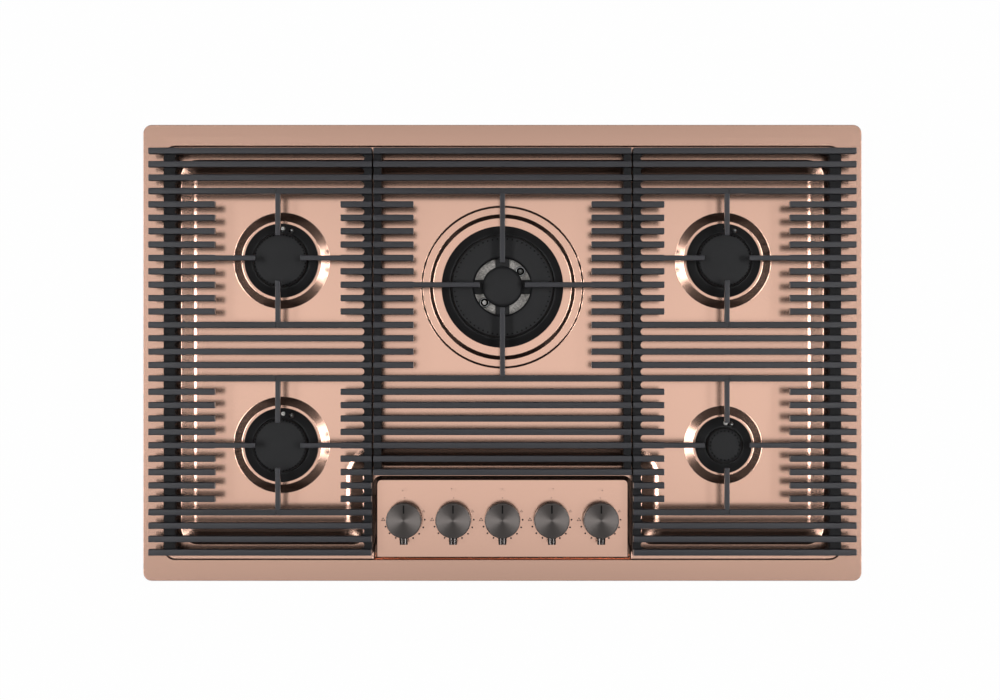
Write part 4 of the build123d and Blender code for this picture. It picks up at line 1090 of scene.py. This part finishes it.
class CooktopBurners(bpy.types.Operator):
    """Models the burner rings and caps with their flame ports"""

    bl_idname = "cooktop.burners"
    bl_label = "Burners"

    def execute(self, context):
        sizes = context.scene.cooktop_burners
        for name, ports, inset in (
                ("rear_left", 48, sizes.port_inset), ("front_right", 24, sizes.small_port_inset)):
            ring, cap = self.simple(name, ports, inset, sizes)
            others = ("front_left", "rear_right") if name == "rear_left" else ()
            for other in others:
                shift = (*(burner_at[other] - burner_at[name]), 0)
                ring_copy, cap_copy = copied(ring, shift, f"{other}_ring"), copied(cap, shift, f"{other}_cap")
                self.hand_over(ring_copy, cap_copy, other)
            self.hand_over(ring, cap, name)
        self.triple(sizes)
        return {"FINISHED"}

    def hand_over(self, ring, cap, name):
        """Finishes a corner burner's ring and cap."""
        finished(ring, "ring_enamel", f"head_{name}", "burner_enamel", f"burner_head_{name}")
        finished(cap, None, f"cap_{name}", "burner_enamel", f"burner_cap_{name}")

    def ring(self, name, x, y, ring, cap, skirt, sizes):
        """A burner's ring: sloping up to its cap, with a skirt that hangs in the cup."""
        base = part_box(f"burner_cap_{name}")[0].z
        seat_z, lip = base - 6.5 * MM, base + 2.5 * MM
        under, foot = base - 2 * MM, seat_z - 6 * MM
        gap = 0.9 * MM
        piece = turned(f"{name}_ring", x, y, [
            (ring, seat_z), (ring, seat_z + 3.1 * MM), (ring - 1.2 * MM, seat_z + 4.1 * MM),
            (cap + gap + 2.4 * MM, lip - 0.5 * MM), (cap + gap, lip), (cap + gap, base),
            (skirt - 2 * MM, base), (skirt - 2 * MM, foot), (skirt, foot), (skirt, under),
            (ring - 3 * MM, under), (ring - 2.4 * MM, seat_z)])
        softened(piece, sizes.rounding)
        return piece

    def simple(self, name, ports, inset, sizes):
        """Ring and cap of a single-ring burner."""
        x, y = burner_at[name]
        cap_r = cap_radius[name]
        skirt = cap_r - 4.4 * MM
        ring = self.ring(name, x, y, ring_radius[name], cap_r, skirt, sizes)
        below = support_top - 60 * MM
        cut(ring, pins("probe_holes", probe_places(name), probe_hole, below, support_top, sides=24))
        smoothed(ring)
        low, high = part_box(f"burner_cap_{name}")
        top = high.z
        cap = turned(f"{name}_cap", x, y, [
            (0, top), (cap_r * 0.5, top - 0.12 * MM), (cap_r - 3.6 * MM, top - 0.5 * MM),
            (cap_r - 1.4 * MM, top - 1.3 * MM), (cap_r - 0.3 * MM, top - 2.6 * MM), (cap_r, top - 4 * MM),
            (cap_r, low.z), (cap_r - 1.2 * MM, low.z), (cap_r - 1.2 * MM, top - 4 * MM), (0, top - 4 * MM)])
        with_ports(cap, "cap_enamel", x, y, cap_r - inset, ports, top - 3.4 * MM, top + MM)
        smoothed(cap, angle=30)
        return ring, cap

    def triple(self, sizes):
        """The middle burner: an outer ring and a hub on four bridges, a domed ring cap and a hub cap."""
        x, y = burner_at["centre"]
        low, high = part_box("burner_ring_cap_centre")
        cap_r, base = half_width("burner_ring_cap_centre"), low.z
        seat_z = base - 6.5 * MM
        inner = 34 * MM
        hub, bore = 19.5 * MM, 15.5 * MM
        skirt = 57.6 * MM
        head = self.ring("centre", x, y, ring_radius["centre"], cap_r, skirt, sizes)
        collar = turned("collar", x, y, [
            (inner + 0.4 * MM, seat_z - 0.6 * MM), (inner + 3.4 * MM, seat_z - 0.6 * MM),
            (inner + 3.4 * MM, base), (inner + 0.4 * MM, base)])
        middle_hub = turned("hub", x, y, [
            (bore, seat_z - 6 * MM), (hub, seat_z - 6 * MM), (hub, base + 2 * MM), (bore, base + 2 * MM)])
        bridges = [
            block("bridge", (x + hub - MM, y - sizes.bridge / 2, seat_z),
                  (x + skirt - MM, y + sizes.bridge / 2, seat_z + 4 * MM), 0.6 * MM)]
        for turn in (1, 2, 3):
            bridge = copied(bridges[0], (0, 0, 0), "bridge")
            swing = Matrix.Rotation(turn * pi / 2, 4, "Z")
            bridge.data.transform(Matrix.Translation((x, y, 0)) @ swing @ Matrix.Translation((-x, -y, 0)))
            bridges.append(bridge)
        head = joined("centre_ring", [head, collar, middle_hub, *bridges])
        smoothed(head)
        finished(head, "ring_enamel", "head_centre", "burner_enamel", "burner_head_centre")

        crown = high.z
        rounding = [radians(a) for a in (0, 25, 50, 70)]
        shoulder = 4.2 * MM
        arc = [(shoulder * (1 - cos(a)), crown - shoulder * (1 - sin(a))) for a in rounding]
        outer_arc = [(cap_r - inset, z) for inset, z in arc]
        inner_arc = [(inner + inset, z) for inset, z in arc]
        ring_cap = turned("centre_ring_cap", x, y, [
            (cap_r, base), *outer_arc, (cap_r * 0.5 + inner * 0.5, crown), *reversed(inner_arc),
            (inner, base), (inner + 1.4 * MM, base), (inner + 1.4 * MM, crown - 5 * MM),
            (cap_r - 1.4 * MM, crown - 5 * MM), (cap_r - 1.4 * MM, base)])
        port_circle, ports = 57.2 * MM, 60
        with_ports(ring_cap, "cap_enamel", x, y, port_circle, ports, crown - 4.2 * MM, crown + MM)
        smoothed(ring_cap, angle=30)
        finished(ring_cap, None, "ring_cap_centre", "burner_enamel", "burner_ring_cap_centre")

        low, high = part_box("burner_cap_centre")
        top, cap_r = high.z, sizes.hub_cap
        hub_cap = turned("centre_hub_cap", x, y, [
            (0, top), (cap_r * 0.5, top - 0.15 * MM), (cap_r - 4 * MM, top - 0.6 * MM),
            (cap_r - 1.6 * MM, top - 1.4 * MM), (cap_r - 0.3 * MM, top - 2.8 * MM), (cap_r, top - 4.2 * MM),
            (cap_r, low.z + 2 * MM), (hub + 0.2 * MM, low.z), (bore, low.z), (bore, top - 4 * MM),
            (0, top - 4 * MM)])
        smoothed(hub_cap)
        finished(hub_cap, "cap_enamel", "cap_centre", "burner_enamel", "burner_cap_centre")


class CooktopProbes(bpy.types.Operator):
    """Models the spark electrodes and the thermocouples beside each burner"""

    bl_idname = "cooktop.probes"
    bl_label = "Electrodes and thermocouples"

    def execute(self, context):
        places = {name: probe_places(name) for name in corners}
        probe_circle = 28.6 * MM
        places["centre"] = around(burner_at["centre"], probe_circle, (221, 41))
        electrodes = self.everywhere(
            "spark_electrode", self.electrode, [places[name][0] for name in burner_names])
        electrodes = joined("spark_electrodes", [electrodes, self.bush(*places["centre"][0])])
        smoothed(electrodes)
        finished(electrodes, None, "root", "electrode_ceramic", "spark_electrodes")
        thermocouples = self.everywhere(
            "flame_probe", self.thermocouple, [places[name][1] for name in burner_names])
        thermocouples = joined("flame_probes", [thermocouples, self.bush(*places["centre"][1])])
        smoothed(thermocouples)
        finished(thermocouples, None, "root", "pipe_steel", "thermocouples")
        return {"FINISHED"}

    def everywhere(self, name, make, places):
        """One modelled at the first place and copied to the others."""
        first = make(*places[0])
        others = [
            copied(first, (px - places[0][0], py - places[0][1], 0), name) for px, py in places[1:]]
        return joined(f"{name}s", [first, *others])

    def bush(self, x, y):
        """The dark ring with a bright lip round an electrode or a probe on the middle burner's cup."""
        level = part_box("burner_cup_centre")[1].z
        ring = turned("bush", x, y, [
            (2.6 * MM, level - MM), (6.1 * MM, level - MM), (6.1 * MM, level + 0.5 * MM),
            (2.6 * MM, level + 0.5 * MM)], steps=32)
        ring.data.materials.append(finishes()["soot"])
        lip = turned("lip", x, y, [
            (4.8 * MM, level), (5.5 * MM, level), (5.5 * MM, level + MM), (4.8 * MM, level + MM)], steps=32)
        softened(lip, 0.25 * MM)
        lip.data.materials.append(finishes()["pipe_aluminium"])
        return joined("bush", [ring, lip])

    def electrode(self, x, y):
        """White ceramic with a groove, and a thin steel tip."""
        low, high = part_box("spark_electrodes")
        top = high.z - 3 * MM
        radius, neck = 2.4 * MM, 1.9 * MM
        ceramic = turned("ceramic", x, y, [
            (0, top), (1.5 * MM, top), (radius - 0.2 * MM, top - 0.5 * MM), (radius, top - 1.2 * MM),
            (radius, top - 5 * MM), (neck, top - 5.5 * MM), (neck, top - 6.5 * MM), (radius, top - 7 * MM),
            (radius, low.z), (0, low.z)], steps=24)
        ceramic.data.materials.append(finishes()["glazed_ceramic"])
        tip = turned("tip", x, y, [
            (0, high.z), (0.5 * MM, high.z - 0.1 * MM), (0.8 * MM, high.z - 0.5 * MM), (0.8 * MM, top - MM),
            (0, top - MM)], steps=16)
        tip.data.materials.append(finishes()["screw_steel"])
        return joined("electrode", [ceramic, tip])

    def thermocouple(self, x, y):
        """A rounded steel tip on a tube, with a collar below it."""
        low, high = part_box("thermocouples")
        radius = 1.9 * MM
        collar_z = high.z - 7 * MM
        tube = turned("tube", x, y, [
            (0, high.z), (0.8 * MM, high.z - 0.12 * MM), (1.4 * MM, high.z - 0.5 * MM),
            (1.8 * MM, high.z - 1.2 * MM), (radius, high.z - 2 * MM), (radius, collar_z),
            (1.6 * MM, collar_z - 0.3 * MM), (1.6 * MM, low.z), (0, low.z)], steps=24)
        tube.data.materials.append(finishes()["pipe_steel"])
        return tube


# ---------------------------------------------------------------- knobs and marks
class CooktopKnobs(bpy.types.Operator):
    """Models one knob with its spun face, index slot and lever tab, and copies it along the panel"""

    bl_idname = "cooktop.knobs"
    bl_label = "Knobs"

    def execute(self, context):
        sizes = context.scene.cooktop_knobs
        x, y = middle("knob_3").x, middle("tap_spindle_3").y
        body = self.body(sizes, x, y)
        face = self.face(sizes, x, y)
        for k in range(1, knob_count + 1):
            shift = (middle(f"knob_{k}").x - x, 0, 0)
            knob, disc = copied(body, shift, f"knob_body_{k}"), copied(face, shift, f"knob_face_{k}")
            finished(knob, None, f"knob_{k}", "knob_metal", f"knob_{k}")
            finished(disc, "turned_face", f"knob_{k}", "knob_metal")
        bpy.data.objects.remove(body)
        bpy.data.objects.remove(face)
        return {"FINISHED"}

    def index_cutter(self, sizes, x, y, top):
        """The shape of the index slot, with rounded ends."""
        low = y + sizes.body - 2.6 * MM - sizes.index_length
        half = sizes.index_width / 2
        slot = block(
            "slot", (x - half, low, top - 0.8 * MM), (x + half, low + sizes.index_length, top + MM))
        with editing(slot):
            select("EDGE", lambda e: abs(e.verts[0].co.z - e.verts[1].co.z) > MM)
            bpy.ops.mesh.bevel(offset=half * 0.95, segments=5, affect="EDGES")
        slot.data.materials.append(finishes()["index_paint"])
        return slot

    def body(self, sizes, x, y):
        """Skirt, cup-shaped body and lever tab."""
        bottom, top = knob_low.z, knob_high.z - 0.05 * MM
        radius, edge = sizes.body, sizes.edge
        inner, roof, hub = sizes.skirt - 3 * MM, top - 3 * MM, 7.5 * MM
        step = bottom + sizes.skirt_height
        body = turned("knob_body", x, y, [
            (0, top), (radius - edge, top), (radius - edge * 0.3, top - edge * 0.3), (radius, top - edge),
            (radius, step + 0.3 * MM), (radius - 0.3 * MM, step), (sizes.skirt, step), (sizes.skirt, bottom),
            (inner, bottom), (inner, roof), (hub, roof), (hub, bottom), (0, bottom)], steps=120)
        body.data.materials.append(finishes()["turned_side"])
        cut(body, self.index_cutter(sizes, x, y, knob_high.z))
        knob = joined("knob_body", [body, self.lever(sizes, x, y, top)])
        smoothed(knob, angle=30)
        return knob

    def lever(self, sizes, x, y, top):
        """The tab in front of the knob: two ridges with a groove between them, narrower at its end."""
        start, reach = y - sizes.body + 3 * MM, sizes.lever_reach + 3 * MM
        crest, half = top - 1.5 * MM, sizes.lever_root / 2
        section = ((1, 11), (1, 1.6), (0.7, 0.45), (0.36, 0), (0, 1.3))
        across = [*section, *[(-share, down) for share, down in section[-2::-1]]]
        lever = drawn_line(
            "lever", [(x + share * half, start, crest - down * MM) for share, down in across], closed=True)
        with editing(lever):
            select_everything()
            bpy.ops.mesh.extrude_region_move(TRANSFORM_OT_translate={"value": (0, -reach, 0)})
            bpy.ops.transform.resize(
                value=(sizes.lever_end / sizes.lever_root, 1, 1), center_override=(x, start - reach, crest))
            tidied()
        softened(lever, 0.2 * MM, angle=25)
        lever.data.materials.append(finishes()["lever_metal"])
        return lever

    def face(self, sizes, x, y):
        """The spun disc on top, through which the index slot is cut."""
        top = knob_high.z
        radius = sizes.body - sizes.edge - 0.35 * MM
        face = turned("knob_face", x, y, [
            (0, top), (radius - 0.15 * MM, top), (radius, top - 0.1 * MM), (radius, top - 0.4 * MM),
            (0, top - 0.4 * MM)], steps=120)
        cut(face, self.index_cutter(sizes, x, y, top))
        smoothed(face, angle=30)
        return face


class CooktopSprings(bpy.types.Operator):
    """Winds the return springs under the knobs at one fixed length; in the real cooktop they shorten as a
    knob is pushed
    """

    bl_idname = "cooktop.springs"
    bl_label = "Return springs"

    wire = 0.4 * MM
    turns = 4
    sides = 10
    travel = 3.5 * MM

    def execute(self, context):
        low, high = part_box("tap_spring_3")
        height = high.z - low.z
        reach = half_width("tap_spring_3") - self.wire
        section = around((reach, low.z + self.wire), self.wire, evenly(self.sides))
        first = drawn_line("spring", [(x, 0, z) for x, z in section], closed=True)
        pitch = (height - 2 * self.wire) / self.turns
        worked(
            first, "SCREW", axis="Z", screw_offset=pitch, iterations=self.turns, steps=24, render_steps=24,
            use_merge_vertices=True)
        with editing(first):
            select_everything()
            bpy.ops.mesh.fill_holes(sides=self.sides)
            tidied()
        smoothed(first)
        for k in range(1, knob_count + 1):
            place = middle(f"tap_spring_{k}")
            spring = copied(first, (place.x, place.y, 0), f"return_spring_{k}")
            finished(spring, "spindle_steel", f"tap_{k}", "spindle_steel", f"tap_spring_{k}")
            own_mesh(spring)
        bpy.data.objects.remove(first)
        return {"FINISHED"}


class CooktopMarks(bpy.types.Operator):
    """Prints the flame marks round the knobs and the burner diagrams behind them"""

    bl_idname = "cooktop.marks"
    bl_label = "Printed marks"

    ink = 0.03 * MM

    def execute(self, context):
        sizes = context.scene.cooktop_knobs
        deck = context.scene.cooktop_deck
        self.bottom = rim_z - deck.shelf_drop + deck.panel_rise - self.ink
        x, y = middle("knob_3").x, middle("tap_spindle_3").y - 0.9 * MM
        circle = sizes.mark_circle
        dots = around((x, y), circle, (0, -22, -44, -65, 200, 222, 244))
        parts = [
            *[self.dot(place, 1.1 * MM) for place in dots],
            self.dot(around((x, y), circle + 2 * MM, (90,))[0], 0.6 * MM),
            self.triangle(around((x, y), circle + 0.8 * MM, (24,))[0], 1.9 * MM),
            self.triangle(around((x, y), circle + 1.4 * MM, (180,))[0], 2.9 * MM)]
        first = joined("marks_3", parts)
        all_marks = [first]
        for k in (1, 2, 4, 5):
            all_marks.append(copied(first, (middle(f"knob_{k}").x - x, 0, 0), f"marks_{k}"))
        for k in range(1, knob_count + 1):
            all_marks += self.diagram(k, middle(f"knob_{k}").x, y + 36 * MM)
        marks = joined("printed_marks", all_marks)
        finished(marks, "printed_ink", "root", "deck_steel")
        return {"FINISHED"}

    def dot(self, place, radius, sides=14):
        """A printed dot."""
        return pins("dot", [place], radius, self.bottom, self.bottom + 2 * self.ink, sides=sides)

    def triangle(self, place, radius):
        """A printed flame sign, kept to a plain hollow triangle."""
        piece = new_piece(
            bpy.ops.mesh.primitive_circle_add, "flame_sign", place=(*place, self.bottom + 2 * self.ink),
            vertices=3, radius=radius, fill_type="NGON")
        with editing(piece):
            select_everything()
            bpy.ops.mesh.inset(thickness=radius * 0.2, depth=0)
            bpy.ops.mesh.delete(type="FACE")
        worked(piece, "SOLIDIFY", thickness=self.ink, offset=-1)
        return piece

    def diagram(self, number, x, y):
        """Five small dots in the burners' places, the knob's own one larger."""
        own = {1: "front_left", 2: "rear_left", 3: "centre", 4: "rear_right", 5: "front_right"}[number]
        scale = 0.0085
        dots = []
        for name in burner_names:
            spot = burner_at[name]
            place = (x + spot.x * scale, y + spot.y * scale * 1.2)
            dots.append(self.dot(place, (0.62 if name == own else 0.3) * MM, sides=10))
        return dots


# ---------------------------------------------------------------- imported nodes
class CooktopFittings(bpy.types.Operator):
    """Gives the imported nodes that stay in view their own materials"""

    bl_idname = "cooktop.fittings"
    bl_label = "Casing, taps and pipes"

    by_slot = {
        "deck_steel": "satin_copper", "casing_steel": "galvanised_sheet", "seal_foam": "seal_foam",
        "seal_rubber": "knob_rubber", "support_iron": "matt_cast_iron", "burner_enamel": "ring_enamel",
        "cup_aluminium": "cast_aluminium", "knob_metal": "turned_side", "tap_brass": "tap_brass",
        "spindle_steel": "spindle_steel", "screw_steel": "screw_steel", "pipe_aluminium": "pipe_aluminium",
        "pipe_steel": "pipe_steel", "electrode_ceramic": "glazed_ceramic",
        "module_plastic": "moulded_plastic",
    }

    def execute(self, context):
        made = finishes()
        for part in frame["record"]["subparts"]:
            node = frame["nodes"][part["node"]]
            material = made[self.by_slot[part["material_slot"]]]
            for place in node.material_slots:
                place.material = material
        return {"FINISHED"}


# ---------------------------------------------------------------- stage
class CooktopStage(bpy.types.Operator):
    """Sets up the floor, the soft studio light and the camera above the cooktop"""

    bl_idname = "cooktop.stage"
    bl_label = "Studio stage"

    def execute(self, context):
        studio = context.scene.cooktop_studio
        self.floor()
        self.light(studio)
        self.camera(studio)
        context.scene.view_settings.view_transform = "Standard"
        return {"FINISHED"}

    def floor(self):
        """A large pale floor that the camera sees almost white, with the cooktop's soft shadow."""
        floor = new_piece(bpy.ops.mesh.primitive_plane_add, "studio_floor", size=60)
        finish = Finish("studio_floor", {"Roughness": 0.9})
        speckle = finish.noise(3, detail=2)
        finish.set("Base Color", finish.blend(speckle, (0.84, 0.84, 0.84), (0.88, 0.88, 0.88)))
        rays = finish.tree.nodes.new("ShaderNodeLightPath")
        seen = Value(finish, rays.outputs["Is Camera Ray"]) + Value(finish, rays.outputs["Is Glossy Ray"])
        glow = finish.node("ShaderNodeEmission", (), {"Color": (1, 1, 1, 1), "Strength": 1.0})
        surface = Value(finish, finish.shader.outputs[0])
        whiteness = 0.985
        mixed = finish.node("ShaderNodeMixShader", (), {0: seen * whiteness, 1: surface, 2: glow})
        output = finish.tree.nodes["Material Output"]
        finish.tree.links.new(mixed.socket, output.inputs["Surface"])
        floor.data.materials.append(finish.material)

    def light(self, studio):
        """A studio dome: a pale ceiling panel between two brighter boxes, a dark room, a pale horizon."""
        world = bpy.data.worlds.new("studio_dome")
        world.use_nodes = True
        bpy.context.scene.world = world
        dome = Finish("studio_dome", tree=world.node_tree)
        direction = dome.node("ShaderNodeTexCoord", output="Generated")
        height = dome.axis(direction, "Z")
        rise = height.maths("MAXIMUM", height, 0.001)
        along = rise.maths("ABSOLUTE", dome.axis(direction, "X") / rise)
        deep = rise.maths("ABSOLUTE", dome.axis(direction, "Y") / rise)
        panel = dome.fall(along, studio.ceiling_x, 0.06) * dome.fall(deep, studio.ceiling_y, 0.07)
        past_start = 1 - dome.fall(along, studio.softbox_near, 0.03)
        beside = past_start * dome.fall(along, studio.softbox_far, 0.04)
        sides = beside * dome.fall(deep, studio.softbox_y, 0.06)
        lit = panel * (studio.ceiling - studio.surround) + sides * (studio.softboxes - studio.surround)
        pale = dome.fall(height, 0.19, 0.04) * (studio.horizon - studio.surround)
        background = world.node_tree.nodes["Background"]
        dome.feed(background.inputs["Strength"], lit + pale + studio.surround)
        background.inputs["Color"].default_value = (1, 1, 1, 1)

    def camera(self, studio):
        """Looks straight down from above the middle."""
        bpy.ops.object.camera_add(
            location=(studio.camera_x, studio.camera_y, studio.camera_height), rotation=(0, 0, 0))
        camera = bpy.context.object
        camera.name = "studio_camera"
        camera.data.sensor_fit = "HORIZONTAL"
        camera.data.angle = studio.view_width
        camera.data.clip_start = 0.05
        camera.data.clip_end = 100
        bpy.context.scene.camera = camera


# ---------------------------------------------------------------- add-on
class CooktopPanel(bpy.types.Panel):
    """Lists the cooktop's pieces and the stage"""

    bl_idname = "VIEW3D_PT_cooktop"
    bl_label = "Gas cooktop"
    bl_space_type = "VIEW_3D"
    bl_region_type = "UI"
    bl_category = "Cooktop"

    def draw(self, context):
        for operator in operators:
            self.layout.operator(operator.bl_idname)


operators = (
    CooktopDeck, CooktopSupports, CooktopBurners, CooktopProbes, CooktopKnobs, CooktopSprings,
    CooktopMarks, CooktopFittings, CooktopStage)
groups = {
    "cooktop_deck": DeckSizes, "cooktop_supports": SupportSizes, "cooktop_burners": BurnerSizes,
    "cooktop_knobs": KnobSizes, "cooktop_colours": Colours, "cooktop_studio": StudioSettings}
classes = (*groups.values(), *operators, CooktopPanel)


def register():
    for cls in classes:
        bpy.utils.register_class(cls)
    for name, group in groups.items():
        setattr(bpy.types.Scene, name, bpy.props.PointerProperty(type=group))


def unregister():
    for name in groups:
        delattr(bpy.types.Scene, name)
    for cls in reversed(classes):
        bpy.utils.unregister_class(cls)


def main():
    register()
    bpy.ops.object.select_all(action="DESELECT")
    bpy.ops.cooktop.deck()
    bpy.ops.cooktop.supports()
    bpy.ops.cooktop.burners()
    bpy.ops.cooktop.probes()
    bpy.ops.cooktop.knobs()
    bpy.ops.cooktop.springs()
    bpy.ops.cooktop.marks()
    bpy.ops.cooktop.fittings()
    bpy.ops.cooktop.stage()


if __name__ == "__main__":
    main()
